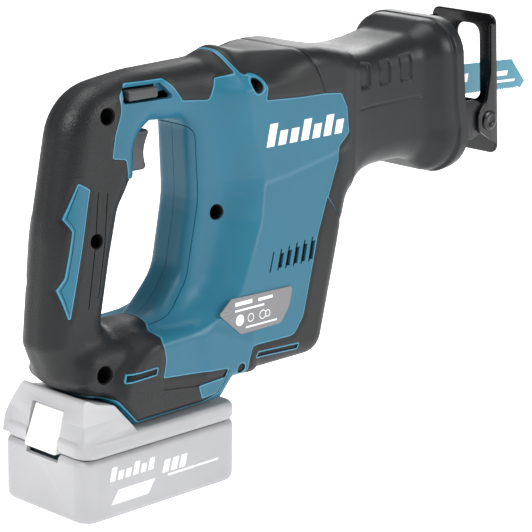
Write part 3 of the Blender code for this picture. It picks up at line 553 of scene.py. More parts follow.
def distance_to(points, closed=True):
    """Distance from each (x, z) of the grid to a polyline, signed (negative inside) if closed."""
    points = np.array(points, dtype=np.float32)
    ends = np.roll(points, -1, axis=0) if closed else points[1:]
    best = np.full(FLAT_X.shape, 1e9, dtype=np.float32)
    inside = np.zeros(FLAT_X.shape, dtype=bool)
    for (ax, az), (bx, bz) in zip(points, ends):
        dx, dz = bx - ax, bz - az
        px, pz = FLAT_X - ax, FLAT_Z - az
        along = np.clip((px * dx + pz * dz) / (dx * dx + dz * dz + 1e-12), 0, 1)
        best = np.minimum(best, (px - along * dx) ** 2 + (pz - along * dz) ** 2)
        if closed and dz != 0:
            crosses = (FLAT_Z >= min(az, bz)) & (FLAT_Z < max(az, bz))
            inside ^= crosses & (FLAT_X < ax + (FLAT_Z - az) * dx / dz)
    best = np.sqrt(best)
    return np.where(inside, -best, best) if closed else best


def region_distance(corners):
    return distance_to(rounded(corners))


def ease(value, start, end):
    t = np.clip((value - start) / (end - start), 0, 1)
    return t * t * (3 - 2 * t)


def smooth_join(a, b, reach):
    """The union of two fields with a fillet of about this reach."""
    share = np.clip(0.5 + 0.5 * (b - a) / reach, 0, 1)
    return b + (a - b) * share - reach * share * (1 - share)


def plate(flat, half, radius):
    """The field of an extruded outline with rounded rims; half and radius may vary over it."""
    half = half if np.isscalar(half) else half[:, None, :]
    radius = radius if np.isscalar(radius) else radius[:, None, :]
    a = flat[:, None, :] + radius
    b = half_y[None, :, None] - half + radius
    return np.hypot(np.maximum(a, 0), np.maximum(b, 0)) + np.minimum(np.maximum(a, b), 0) - radius


def grip_field():
    """The D-shaped ring; it is slimmer at the top rear, and its web is less round than the grip."""
    ring = np.maximum(region_distance(FRAME_OUTLINE), -region_distance(OPENING_OUTLINE))
    slimmed = 1.2 * ease(FLAT_Z, 150, 185) * ease(-FLAT_X, -50, -25)
    squared = 5.0 * ease(FLAT_X, 60, 80) * (1 - ease(FLAT_Z, 212, 234))
    return plate(ring, GRIP_HALF - slimmed, 14.5 - squared)


def body_field():
    """The motor and gear housing: a flat side panel with a crease, a narrow facet and a hollow."""
    panel = region_distance(PANEL_OUTLINE)
    half = BODY_HALF - 0.66 * np.clip(panel, 0, FACET) - 0.85 * np.clip(panel - FACET, 0, 40)
    crease = distance_to(CREASE_LINE, closed=False)
    below = FLAT_Z < np.interp(FLAT_X, *zip(*CREASE_LINE))
    step = 1.1 * np.where(below, ease(crease, 0, 4), 0) * ease(-panel, 0, 3)
    half -= step * ease(-crease, -60, -15) * (1 - ease(FLAT_X, 196, 211))
    half -= 23.0 * ease(FLAT_Z, 230, 250) * (1 - ease(FLAT_X, 112, 182))
    half -= 1.5 * ease(FLAT_X, 200, NOSE_X)
    return plate(region_distance(BODY_OUTLINE), half, 11)


def housing_field():
    field = smooth_join(grip_field(), body_field(), 16)
    field = smooth_join(field, plate(region_distance(BASE_OUTLINE), BODY_HALF, 6), 4)
    shoulder = plate(region_distance(SHOULDER_OUTLINE), SHOULDER_HALF, 9)
    field = smooth_join(field, shoulder, 9)
    field = np.maximum(field, (FLAT_X - NOSE_X)[:, None, :])
    proud = ease(FLAT_X, 207, 209.6) * (FLAT_Z > 150)
    for region in (REAR_REGION, COVER_REGION, BUMPER_REGION, COLLAR_REGION):
        proud = np.maximum(proud, ease(-region_distance(region), 0, 2.6))
    proud *= 1 - ease(-region_distance(inset(INLAY_REGION, -1.5)), -1.5, 1)
    return field - PROUD * proud[:, None, :]


def mesh_of_field(name, field, level, step=1):
    """A closed mesh at one level of the mirrored field."""
    whole = np.concatenate([field[:, ::-1, :], field], axis=1)[::step, ::step, ::step]
    grid = openvdb.FloatGrid()
    grid.background = FIELD_REACH
    grid.copyFromArray(np.clip(whole - level, -FIELD_REACH, FIELD_REACH).astype(np.float32))
    points, _, quads = grid.convertToPolygons(isovalue=0)
    spacing = PITCH * step
    start = np.array([grid_x[0], -half_y[-1], grid_z[0]])
    return make_object(name, (points * spacing + start).tolist(), quads.tolist(), 40)


field = housing_field()
levels = {
    name: mesh_of_field(name, field, level, step)
    for name, level, step in (
        ("outer", 0, 1),
        ("raised", 0.12, 1),
        ("rim_floor", -0.25, 1),
        ("print_top", 0.06, 1),
        ("groove_floor", -0.6, 1),
        ("skin_floor", -SKIN, 2),
        ("under_skin", -SKIN - GAP, 2),
        ("hollow", -WALL - 0.6, 2),
    )
}


def level(name):
    """A fresh copy of the housing's surface at one of the levels."""
    return copy_of(levels[name])


def slab(name, outline, low=-FAR, high=FAR):
    return prism(name, rounded(outline), low, high)


def on_side(side, near, far=FAR):
    """The range of Y from near to far on one side; side is -1 on the right and 1 on the left."""
    return sorted((side * near, side * far))


def bay_cut():
    """The space in the foot that the battery's tongue slides into."""
    return block("bay", (20, 112.5), (-25, 25), (40, 58))


def nose_cut():
    return block("nose", (205, 230), (-29.5, 29.5), (162.5, 239.6))


def trigger_cut():
    return block("trigger_slot", (30, 80), (-TRIGGER_GAP, TRIGGER_GAP), (188.5, 214))


def boss_at_top(radius):
    """The column round the last screw, which comes up through the gear cover's rubber."""
    x, z = SCREW_PLACES[-1]
    return rod("boss", radius, -FAR, FAR, (x, 0, z))


def slanted(x, foot, width, tall, lean_by):
    """The outline of a slanted bar."""
    return [(x, foot), (x + width, foot), (x + width + lean_by, foot + tall), (x + lean_by, foot + tall)]


def ribbon(name, path, width):
    """A thin upright band along a path, for cutting a groove."""
    path = np.array(path, dtype=float)
    ahead = np.gradient(path, axis=0)
    side = np.stack([-ahead[:, 1], ahead[:, 0]], axis=1)
    side *= width / 2 / np.hypot(*side.T)[:, None]
    return prism(name, (path + side).tolist() + (path - side).tolist()[::-1], -FAR, FAR)


SIDES = (("right", -1), ("left", 1))
REGIONS = [REAR_REGION, COVER_REGION, COLLAR_REGION, BUMPER_REGION]

# Slots framed in teal on the rubber: their outer outlines.
SLOT_FRAMES = [
    [(27, 75.9, 1.2), (50.6, 76.6, 1.2), (52, 81.7, 1.2), (29, 81.2, 1.2)],
    [(128.2, 70.2, 1.2), (165.8, 68.3, 1.2), (167.2, 72.7, 1.2), (131.6, 74.2, 1.2)],
    [(114, 62.8, 3.8), (121.8, 62.8, 3.8), (121.8, 70.6, 3.8), (114, 70.6, 3.8)],
]
FOOT_PATCH = [(86, 54.8, 1), (98.6, 55.6, 1.5), (104.4, 64.4, 0.8), (83.2, 63.2, 1)]
FOOT_WEDGE = [(55.6, 66.6, 0.5), (81.8, 63.2, 0.5), (105.6, 64.4, 0.3), (106.8, 68.5, 0.3),
              (55.6, 73.3, 0.3)]
WINDOW_POCKET = [(40.2, 231.2, 1.5), (78.6, 230.6, 1), (69.6, 239.9, 1.5), (42.6, 239.9, 1.5)]
TRIGGER_GAP = 10.5
SLOT_NEAR = 20.0  # how near the middle plane the side slots start
FRAME_GAP = 0.2
BOSS_RADIUS = 6.7
BAR_LEAN = 0.22


def vent_outlines():
    """Slanted vents: a fine slit with a wider, deep middle."""
    slits, wells = [], []
    for k in range(6):
        x = 143.2 + 6.6 * k
        lift = 0.75 * k
        slits.append([(x - 2.6, 120.6 + lift * 0.2), (x - 1.4, 120.6 + lift * 0.2),
                      (x + 1.8, 132.4 + lift), (x + 0.6, 132.4 + lift)])
        if k:
            wells.append([(x - 2.3, 121.8 + lift * 0.2), (x + 1.3, 121.8 + lift * 0.2),
                          (x + 3.4, 129.8 + lift), (x - 0.2, 129.8 + lift)])
    return slits, wells


def side_slots(side, depth):
    """Blocks that fill the framed side slots, shrunk by depth."""
    return [slab("slot", inset(outline, depth), *on_side(side, SLOT_NEAR)) for outline in SLOT_FRAMES]


def cutters(side):
    """The openings through the housing, as fresh cutting shapes; side is -1 on the right."""
    found = [
        bay_cut(),
        nose_cut(),
        trigger_cut(),
        block("trigger_toe", (44, 66), (-TRIGGER_GAP, TRIGGER_GAP), (180, 200)),
        block("button_slot", (43, 67), (-30, 30), (231.4, 239.6)),
    ]
    found += [slab("pocket", WINDOW_POCKET, *on_side(sign, 12.8)) for sign in (-1, 1)]
    found += [cut(slot, level("skin_floor")) for slot in side_slots(side, 0.8)]
    slits, wells = vent_outlines()
    found += [prism("vent", outline, *on_side(side, 26)) for outline in slits + wells]
    return found


def shallow(cutter):
    """Leaves only the part of a cutter that lies near the surface."""
    return cut(cutter, level("groove_floor"))


def grip_lines():
    """Two fine lines down the grip beside its inlay."""
    return [ribbon("line", [(22.4, 184.5), (18.6, 152), (13.8, 119)], 0.6),
            ribbon("line", [(29, 183), (25.6, 152), (21.4, 124)], 0.6)]


def build_rubber():
    """The rubber skins over the housing."""
    pieces = []
    for name, region, material, split in (
        ("rear_grip", REAR_REGION, rubber, True),
        ("front_bumper", BUMPER_REGION, cover_rubber, True),
        ("gear_cover", COVER_REGION, cover_rubber, False),
        ("boot_collar", COLLAR_REGION, boot_rubber, False),
    ):
        skin = crop(level("outer"), slab("region", region))
        tools = [level("skin_floor")]
        if name == "rear_grip":
            tools += [slab("inlay", inset(INLAY_REGION, -GAP)),
                      slab("frame", inset(SLOT_FRAMES[0], -FRAME_GAP)),
                      slab("patch", inset(FOOT_PATCH, -FRAME_GAP)),
                      shallow(slab("wedge", FOOT_WEDGE)),
                      *[shallow(band) for band in grip_lines()],
                      bay_cut(),
                      trigger_cut()]
            tools += [rod("hole", well, -FAR, 0, (x, 0, z))
                      for well, (x, z) in zip(WELL_RADII[:3], SCREW_PLACES[:3])]
        elif name == "front_bumper":
            tools += [slab("frame", inset(SLOT_FRAMES[1], -FRAME_GAP))]
        elif name == "gear_cover":
            tools += [boss_at_top(BOSS_RADIUS + GAP)]
        else:
            tools += [nose_cut()]
        cut(skin, *tools)
        pieces.append((skin, name, material, split))
    return pieces


def build_shell():
    """The teal shell of both halves together: full thickness, and thinner under the skins."""
    shell = level("outer")
    rubber_space = [slab(f"space_{k}", inset(region, -GAP)) for k, region in enumerate(REGIONS)]
    for space in rubber_space:
        keep = [level("under_skin")]
        if space is rubber_space[0]:
            keep += [slab("inlay", INLAY_REGION), slab("frame", SLOT_FRAMES[0]), slab("patch", FOOT_PATCH)]
        if space is rubber_space[3]:
            keep += [slab("frame", SLOT_FRAMES[1])]
        if space is rubber_space[1]:
            keep += [boss_at_top(BOSS_RADIUS)]
        cut(space, *keep)
    cut(shell, *rubber_space)
    cut(shell, level("hollow"))
    return shell


def screw_bosses(side):
    """Posts round the screws from the wall to the parting plane, and the holes in them."""
    posts, holes = [], []
    for (x, z), well, reach in zip(SCREW_PLACES, WELL_RADII, POST_REACHES):
        post = rod("post", well + 1.5, *on_side(side, GAP / 2, reach), (x, 0, z))
        posts.append(crop(post, level("under_skin")))
        if side < 0:
            profile = [(0, -FAR), (well, -FAR), (well, -5.6), (SHANK_HOLE, -5.6), (SHANK_HOLE, 1), (0, 1)]
        else:
            profile = [(0, -1), (SHANK_HOLE, -1), (SHANK_HOLE, 9), (0, 9)]
        holes.append(turned("hole", profile, (x, 0, z), "Y", SCREW_STEPS))
    return posts, holes


def grooves():
    """Fine lines pressed into the teal shell: round the finger opening, the inlay and the foot."""
    web = rounded([(80, 213, 0), (96.4, 213, 9), (99.6, 168, 60), (91, 122, 26),
                   (72.5, 99.4, 24), (52, 99.4, 0)], radians(5))[1:-1]
    inlay = [(8.4, 188), (1.6, 172.6), (5.5, 166), (0.4, 138.8), (-3.4, 132.4), (0.4, 119)]
    foot = [(25.5, 63.4), (36.2, 51.3), (60, 51.4), (88, 51.5), (100.4, 54.6), (108.6, 68)]
    cheek = [(61.9, 216.3), (53.3, 213), (50.2, 209), (48.6, 199.5), (48.2, 190)]
    return [ribbon("line", path, 0.45) for path in (web, inlay, foot, cheek)]


def rim_strips():
    """Narrow raised edges of the shell beside the rubber, round the boss and round the slots."""
    def outline_ring(regions, near, far):
        ring = slab("ring", inset(regions[0], -far))
        for region in regions[1:]:
            add(ring, slab("ring", inset(region, -far)))
        cut(ring, *[slab("core", inset(region, -near)) for region in regions])
        return ring

    strips = [outline_ring([REAR_REGION], 0.3, 1), outline_ring(REGIONS[1:], 0.3, 1)]
    for frame_outline in (*SLOT_FRAMES, FOOT_PATCH, INLAY_REGION):
        edge = slab("edge", inset(frame_outline, 0.1))
        strips.append(cut(edge, slab("core", inset(frame_outline, 0.8))))
    x, z = SCREW_PLACES[-1]
    strips.append(turned("edge", [(4.6, -FAR), (5.4, -FAR), (5.4, 0), (4.6, 0)], (x, 0, z), "Y"))
    return strips


def build_rims():
    """The raised edges as a piece of their own, lying in the shell's surface; their lighter teal is a
    painted highlight where the edges catch the light.
    """
    rims = join_all([crop(strip, level("raised")) for strip in rim_strips()])
    cut(rims, level("rim_floor"))
    cut(rims, slab("pocket", inset(WINDOW_POCKET, -0.4)), trigger_cut(), nose_cut())
    finish_piece(rims, "shell_rims_painted_highlight", teal_rim_painted_highlight, "saw_body", "teal_plastic")


def half_space(side, near):
    """Everything on one side of the middle plane, from near outwards."""
    return block("half", (-60, 300), on_side(side, near), (0, 300))


def build_housing():
    build_rims()
    shell = build_shell()
    cut(shell, *[shallow(band) for band in grooves()])
    skins = build_rubber()
    for name, side in SIDES:
        half = crop(copy_of(shell), half_space(side, GAP / 2))
        posts, holes = screw_bosses(side)
        add(half, *posts)
        cut(half, *(holes + cutters(side)))
        finish_piece(half, f"teal_housing_{name}", teal, "saw_body", "teal_plastic", f"housing_{name}")
        for skin, label, material, split in skins:
            if split:
                part = crop(copy_of(skin), half_space(side, 0.03))
                finish_piece(part, f"{label}_skin_{name}", material, "saw_body", "charcoal_rubber",
                             f"{label}_{name}")
    for skin, label, material, split in skins:
        if split:
            bpy.data.objects.remove(skin)
        elif label == "gear_cover":
            finish_piece(skin, "gear_cover_skin", material, "saw_body", "charcoal_rubber", "gear_cover")
        else:
            finish_piece(skin, "boot_collar", material, "saw_body", "boot_rubber")
    bpy.data.objects.remove(shell)


build_housing()


def build_screws():
    """Pan-head screws with a six-lobed recess."""
    profile = [(0, -9), (2.6, -8.9), (3.1, -8.2), (3.2, -6.4), (3.1, -6), (1.9, -6),
               (1.9, 7.2), (1.2, 8), (0, 8)]
    recess_profile = [(0, -12), (1.55, -12), (1.55, -7.4), (0, -7)]
    for index, (x, z) in enumerate(SCREW_PLACES, start=1):
        screw = turned("screw", profile, (x, 0, z), "Y", SCREW_STEPS)
        recess = turned("recess", recess_profile, (x, 0, z), "Y", 48,
                        lambda theta: 0.28 * cos(6 * theta))
        cut(screw, recess)
        finish_piece(screw, f"housing_screw_piece_{index}", screw_black, "saw_body", "black_screw",
                     f"housing_screw_{index}")


build_screws()


def build_shade_linings():
    """Black linings of the screw wells, vents and side slots: painted shade, dark sheets standing for the
    shade deep inside them.
    """
    wells = []
    # The black tubes in the screw wells are painted shade for the dark bores.
    for (x, z), well in zip(SCREW_PLACES, WELL_RADII):
        outer, inner = well - 0.05, well - 0.6
        profile = [(3.7, -10), (inner, -12), (inner, -FAR), (outer, -FAR), (outer, -9.3), (3.7, -9.3)]
        tube = turned("tube", profile, (x, 0, z), "Y", SCREW_STEPS)
        wells.append(crop(tube, level("groove_floor")))
    finish_piece(join_all(wells), "screw_well_painted_shade", nylon, "saw_body", "nylon_black")
    for name, side in SIDES:
        # The black plates behind the vent wells and on the slot floors are painted shade for the dark
        # inside.
        plates = [prism("plate", outline, *on_side(side, 29.5, 32.1)) for outline in vent_outlines()[1]]
        for slot in side_slots(side, 0.85):
            plates.append(cut(crop(slot, level("groove_floor")), level("skin_floor")))
        finish_piece(join_all(plates), f"recess_painted_shade_{name}", nylon, "saw_body", "nylon_black")


def build_side_mark():
    """A plain row of slanted bars printed on the right side."""
    bars = []
    for k, tall in enumerate((13.5, 8.5, 8.5, 12.5, 8.5, 12.5, 8.5)):
        outline = slanted(136.5 + 9.6 * k, 196.2 + 0.02 * k, 6.4, tall, BAR_LEAN * tall)
        bars.append(prism("bar", outline, -FAR, -20))
    mark = crop(join_all(bars), level("print_top"))
    cut(mark, level("rim_floor"))
    finish_piece(mark, "side_mark", print_white, "saw_body", "label_film")


build_side_mark()
build_shade_linings()

for surface in levels.values():
    bpy.data.objects.remove(surface)

# ---- boot

# Key (x, half width, low, high, corner radius) sections of the boot, and its curved front edge.
BOOT_SECTIONS = np.array([
    (NOSE_X + 0.15, 32.9, 158.4, 243.2, 11.5),
    (220, 31.4, 162, 242.2, 12),
    (228, 30.3, 165.4, 241.2, 13),
    (238, 29.7, 167.4, 240.8, 14),
    (256, 29.7, 168.2, 242.2, 15),
    (272, 30.4, 167.6, 244.6, 16),
    (281, 31.6, 165.8, 246.4, 17),
    (288, 34.6, 161.6, 249.6, 19),
    (294, 37.6, 158.2, 252.6, 21),
    (300, 39.1, 157, 253.6, 22),
    (302.6, 39.3, 156.9, 253.8, 22),
    (303.4, 40.2, 156.3, 254.3, 22),
    (311, 40.4, 156.2, 254.4, 22),
])
FRONT_Z = [150, 157, 165, 176, 186, 193, 200, 226, 250, 256]
FRONT_X = [304, 305.5, 309, 311.5, 312, 310, 308, 305, 303.2, 303]
BOOT_HALF_LIMIT = 40.35
BOOT_HIGH_LIMIT = 254.4
BOOT_WALL = 2.6
LIP_DEPTH = 1.9
RIB_DEPTH = 1.3
RIBS = ((220, 230.5), (240, 250.5), (260, 270.5))


def smooth_sections(count):
    """The sections at evenly spaced x, on cubic curves through the keys."""
    keys = BOOT_SECTIONS
    xs = np.linspace(keys[0, 0], keys[-1, 0], count)
    rows = [xs]
    for column in range(1, keys.shape[1]):
        values = keys[:, column]
        slopes = np.gradient(values, keys[:, 0])
        index = np.clip(np.searchsorted(keys[:, 0], xs) - 1, 0, len(keys) - 2)
        width = keys[index + 1, 0] - keys[index, 0]
        t = (xs - keys[index, 0]) / width
        rows.append(values[index] * (1 + 2 * t) * (1 - t) ** 2 + slopes[index] * width * t * (1 - t) ** 2
                    + values[index + 1] * t * t * (3 - 2 * t) + slopes[index + 1] * width * t * t * (t - 1))
    rows[1] = np.minimum(rows[1], BOOT_HALF_LIMIT)
    rows[3] = np.minimum(rows[3], BOOT_HIGH_LIMIT)
    return np.array(rows).T


def section_ring(half, low, high, radius, shrink, around):
    """Evenly spaced (y, z) points round an upright rounded rectangle."""
    half, low, high = half - shrink, low + shrink, high - shrink
    radius = max(radius - shrink, 1)
    corners = rounded(rectangle((-half, half), (low, high), radius), radians(5))
    loop = np.array(corners + corners[:1])
    length = np.concatenate([[0], np.cumsum(np.hypot(*np.diff(loop, axis=0).T))])
    at = np.linspace(0, length[-1], around, endpoint=False)
    return np.stack([np.interp(at, length, loop[:, 0]), np.interp(at, length, loop[:, 1])], axis=1)


def relief(x, y, z, half, high):
    """The depth of the three ribs and of the line under them, pressed into the boot's sides."""
    depth = np.zeros(len(y))
    for start, end in RIBS:
        tall = ease(z, 218.5, 221.5) * (1 - ease(z, high - 7, high - 1))
        wide = ease(x, start - 0.8, start + 2) * (1 - ease(x, end - 0.8, end + 0.6))
        depth += RIB_DEPTH * tall * wide
    line = 0.45 * np.exp(-((z - 207.5 - 0.02 * (x - 220)) / 0.6) ** 2)
    depth += line * ease(x, 219, 221) * (1 - ease(x, 280, 283))
    return depth * ease(np.abs(y), half - 2.5, half - 0.8)


def build_boot():
    """A sleeve with an outside, a rolled lip at its curved front and an inside."""
    around = 360
    sections = smooth_sections(150)
    rear, nominal = sections[0, 0], sections[-1, 0]
    rings = []

    def lay(ring, ahead):
        rings.append(np.column_stack([ahead, ring]))

    def stretched(x, z):
        reach = (np.interp(z, FRONT_Z, FRONT_X) - rear) / (nominal - rear)
        return rear + (x - rear) * reach

    for x, half, low, high, radius in sections:
        ring = section_ring(half, low, high, radius, 0, around)
        y, z = ring.T
        depth = relief(x, y, z, half, high)
        lay(np.column_stack([y - np.sign(y) * depth, z]), stretched(x, z))
    for k in range(1, 13):
        turn = pi * k / 13
        ring = section_ring(*sections[-1, 1:], BOOT_WALL * (1 - cos(turn)), around)
        lay(ring, np.interp(ring[:, 1], FRONT_Z, FRONT_X) - 0.001 + LIP_DEPTH * sin(turn) - LIP_DEPTH)
    for x, half, low, high, radius in sections[::-3]:
        shrink = BOOT_WALL + BOOT_WALL * ease(x, 296, 311)
        ring = section_ring(half, low, high, radius, shrink, around)
        lay(ring, stretched(x, ring[:, 1]) - LIP_DEPTH * ease(x, 300, 311))
    faces = []
    for k in range(len(rings)):
        first, second = k * around, ((k + 1) % len(rings)) * around
        for i in range(around):
            j = (i + 1) % around
            faces.append((first + i, first + j, second + j, second + i))
    boot = make_object("boot", np.concatenate(rings).tolist(), faces, 50)
    on_faces(boot.data, bmesh.ops.recalc_face_normals)
    shade(boot.data, 50)
    finish_piece(boot, "boot_sleeve", boot_rubber, "saw_body", "boot_rubber", "front_boot")


build_boot()

# ---- blade, clamp and shoe

SLIDER_Z = 207.0
BLADE_X = 322.0  # where the blade's body starts, in front of its tang
BLADE_TIP = 417.0
TOOTH = 2.54
CLIPPED = 4.5
SHOE_HALF = 26.4
SHOE_SHEET = 2.2
PIVOT_X = 349.0
PIVOT_Z = 183.0
SHOE_LEAN = radians(4.5)
SHOE_LOW = 158.8 - PIVOT_Z
SHOE_HIGH = 250.9 - PIVOT_Z
SHOE_FACE = 9.1


def build_blade():
    """A bi-metal blade: painted body, saw teeth, clipped tip, and a plain printed mark."""
    half = 10.0
    rake = radians(2.6)
    cosine, sine = cos(rake), sin(rake)
    length = (BLADE_TIP - BLADE_X + (2 * half - CLIPPED) * sine) / cosine
    teeth = []
    for k in range(int((length - 12) / TOOTH)):
        teeth.append((8.0 + k * TOOTH, -half))
        teeth.append((8.0 + (k + 0.35) * TOOTH, -half + 1.5))
    outline = [(0, half), (-2.5, 5.6), (-20, 5.6), (-20, -5.6), (-2.5, -5.6), (0, -half), *teeth,
               (length - 4, -half), (length, -half + CLIPPED), (length - 15, half)]
    placed = []
    for x, z in outline:
        if x < 0:
            placed.append((BLADE_X + x, SLIDER_Z + z))
        else:
            placed.append((BLADE_X + x * cosine + (z - half) * sine,
                           SLIDER_Z + half + (z - half) * cosine - x * sine))
    blade = prism("blade", placed, -0.52, 0.52, smooth=20)
    cut(blade, rod("tang_hole", 2.3, -3, 3, (308, 0, SLIDER_Z)), solver="EXACT")
    bevel = blade.modifiers.new("edge", "BEVEL")
    bevel.width = 0.12 * MM
    bevel.segments = 1
    bevel.limit_method = "ANGLE"
    finish_piece(bake(blade), "saw_blade", blade_teal, "slider", "blade_paint", "blade")
    marks = []
    for start, width, foot, tall in ((340, 5, 0, 6), (347, 4, 0, 4.2), (353, 4, 0, 5.6),
                                     (384, 14, 1.5, 3.2), (384, 22, -3, 1.6)):
        low = SLIDER_Z - 2.0 + foot - (start - BLADE_X) * sine
        drop = width * sine
        outline = [(start, low), (start + width, low - drop),
                   (start + width + 1, low + tall - drop), (start + 1, low + tall)]
        marks.append(prism("mark", outline, -0.56, -0.45))
    finish_piece(join_all(marks), "blade_print", print_white, "slider", "blade_paint")


build_blade()


def build_clamp():
    """The knurled sleeve that locks the blade, with its lug."""
    profile = [(7.4, 294.7), (9.6, 294.7), (10, 295.1), (11.4, 297), (11.7, 297.6), (11.7, 299),
               (11.1, 299.4), (11.1, 300.4), (11.7, 300.8), (11.7, 314.4), (11.4, 315), (10.5, 318),
               (10, 318.4), (7.4, 318.4)]
    clamp = turned("clamp", profile, (0, 0, SLIDER_Z), "X", 120,
                   lambda theta: -0.18 * (1 + cos(30 * theta)) / 2)
    lug = [(-3.4, SLIDER_Z + 9, 0), (3.4, SLIDER_Z + 9, 0), (2.5, SLIDER_Z + 16.9, 1.4),
           (-2.5, SLIDER_Z + 16.9, 1.4)]
    add(clamp, pillow("lug", lug, 299.2, 311.8, 0.8, "X"), solver="EXACT")
    finish_piece(clamp, "clamp_sleeve", satin_black, "blade_clamp", "black_steel", "blade_clamp_sleeve")


build_clamp()


def pin_hole():
    """The bore for the pin that the shoe tilts on."""
    return rod("pin_hole", 3.8, -40, 40, (PIVOT_X, 0, PIVOT_Z))


def lean(obj):
    """Turns a piece from the shoe's own plane about its pivot into place."""
    pivot = Matrix.Translation(((PIVOT_X + ORIGIN_X) * MM, 0, PIVOT_Z * MM))
    obj.data.transform(pivot @ Matrix.Rotation(-SHOE_LEAN, 4, "Y") @ pivot.inverted())
    return obj


def build_shoe():
    """The pressed shoe: a plate with a window, and two flanges folded back to the rivets."""
    edge = rectangle((-SHOE_HALF, SHOE_HALF), (SHOE_LOW + PIVOT_Z, SHOE_HIGH + PIVOT_Z), 6)
    window = rectangle((-13, 5.5), (PIVOT_Z + 10, PIVOT_Z + 60), 6.5)
    front = PIVOT_X + SHOE_FACE
    shoe = pillow("shoe", edge, front - SHOE_SHEET, front, 0.9, "X", 4, window)
    flange = [(3.4, SHOE_HIGH - 5.5, 2), (3, 32, 14), (-1.5, 13, 8), (-10.2, 6.5, 5),
              (-10.2, -4.5, 6), (0, -12.2, 7), (SHOE_FACE - 1, SHOE_LOW + 6, 0.2),
              (SHOE_FACE - 1, SHOE_HIGH - 5.5, 0.2)]
    flange = [(x + PIVOT_X, z + PIVOT_Z, radius) for x, z, radius in flange]
    for side in (-1, 1):
        sheet = on_side(side, SHOE_HALF - SHOE_SHEET, SHOE_HALF)
        add(shoe, pillow("flange", flange, *sheet, 0.45, steps=3), solver="EXACT")
    cut(shoe, pin_hole(), solver="EXACT")
    finish_piece(lean(shoe), "shoe_pressing", gloss_black, "shoe", "black_steel", "shoe_plate")
    for name, side in SIDES:
        profile = [(0, 20.2), (4.8, 20.2), (5.2, 20.6), (5.2, 21.4), (3.5, 21.4), (3.5, 26.7), (6.2, 26.7),
                   (6.4, 27), (6.2, 27.6), (5.4, 28.1), (4, 28.3), (3.2, 28.05), (2.8, 27.8), (0, 27.75)]
        if side < 0:
            profile = [(r, -h) for r, h in reversed(profile)]
        rivet = turned(f"rivet_{name}", profile, (PIVOT_X, 0, PIVOT_Z), "Y", 56)
        finish_piece(rivet, f"rivet_{name}", satin_black, "shoe", "black_steel", f"shoe_rivet_{name}")


build_shoe()


def build_bracket():
    """The arm that slides in the guide, its cross web and the two ears that hold the shoe."""
    arm = block("arm", (222, 306), (-12, 12), (173.8, 179.2), 0.7)
    web = block("web", (300, 334), (-23.9, 23.9), (173.8, 177), 0.7)
    ear = [(302, 173.8, 1.5), (336, 172, 5), (353.4, 176.5, 6), (353.4, 189.5, 6),
           (338, 197.5, 8), (326, 197.5, 6), (310, 190, 6), (302, 186, 2)]
    ears = [pillow("ear", ear, *on_side(side, 21.7, 23.9), 0.5, steps=3) for side in (-1, 1)]
    for part in (web, *ears):
        add(arm, part, solver="EXACT")
    cut(arm, pin_hole(), solver="EXACT")
    finish_piece(arm, "shoe_arm_pressing", satin_black, "shoe_arm", "black_steel", "shoe_bracket")


build_bracket()

# ---- controls


def build_controls():
    """The trigger and the lock-off bar that passes through the top of the grip."""
    outline = [(44.2, 189.8, 1), (66.4, 189.8, 2.4), (62.4, 200, 16), (68.4, 213, 2),
               (44.2, 213, 1)]
    trigger = pillow("trigger", outline, -9.5, 9.5, 2.2, smooth=60)
    finish_piece(trigger, "trigger_lever", control_grey, "trigger", "trigger_rubber", "trigger")
    bar = pillow("bar", rectangle((44.1, 65.9), (232.5, 238.5), 1.2), -18.1, 18.1, 1.1, smooth=60)
    finish_piece(bar, "lock_off_bar", control_grey, "lock_off", "trigger_rubber", "lock_off_button")


build_controls()

# ---- battery

BATTERY_HALF = 37.5
BATTERY_FRONT = 114.6
CASE_WALL = 3.0
BUTTON_WELL_HALF = 13.6


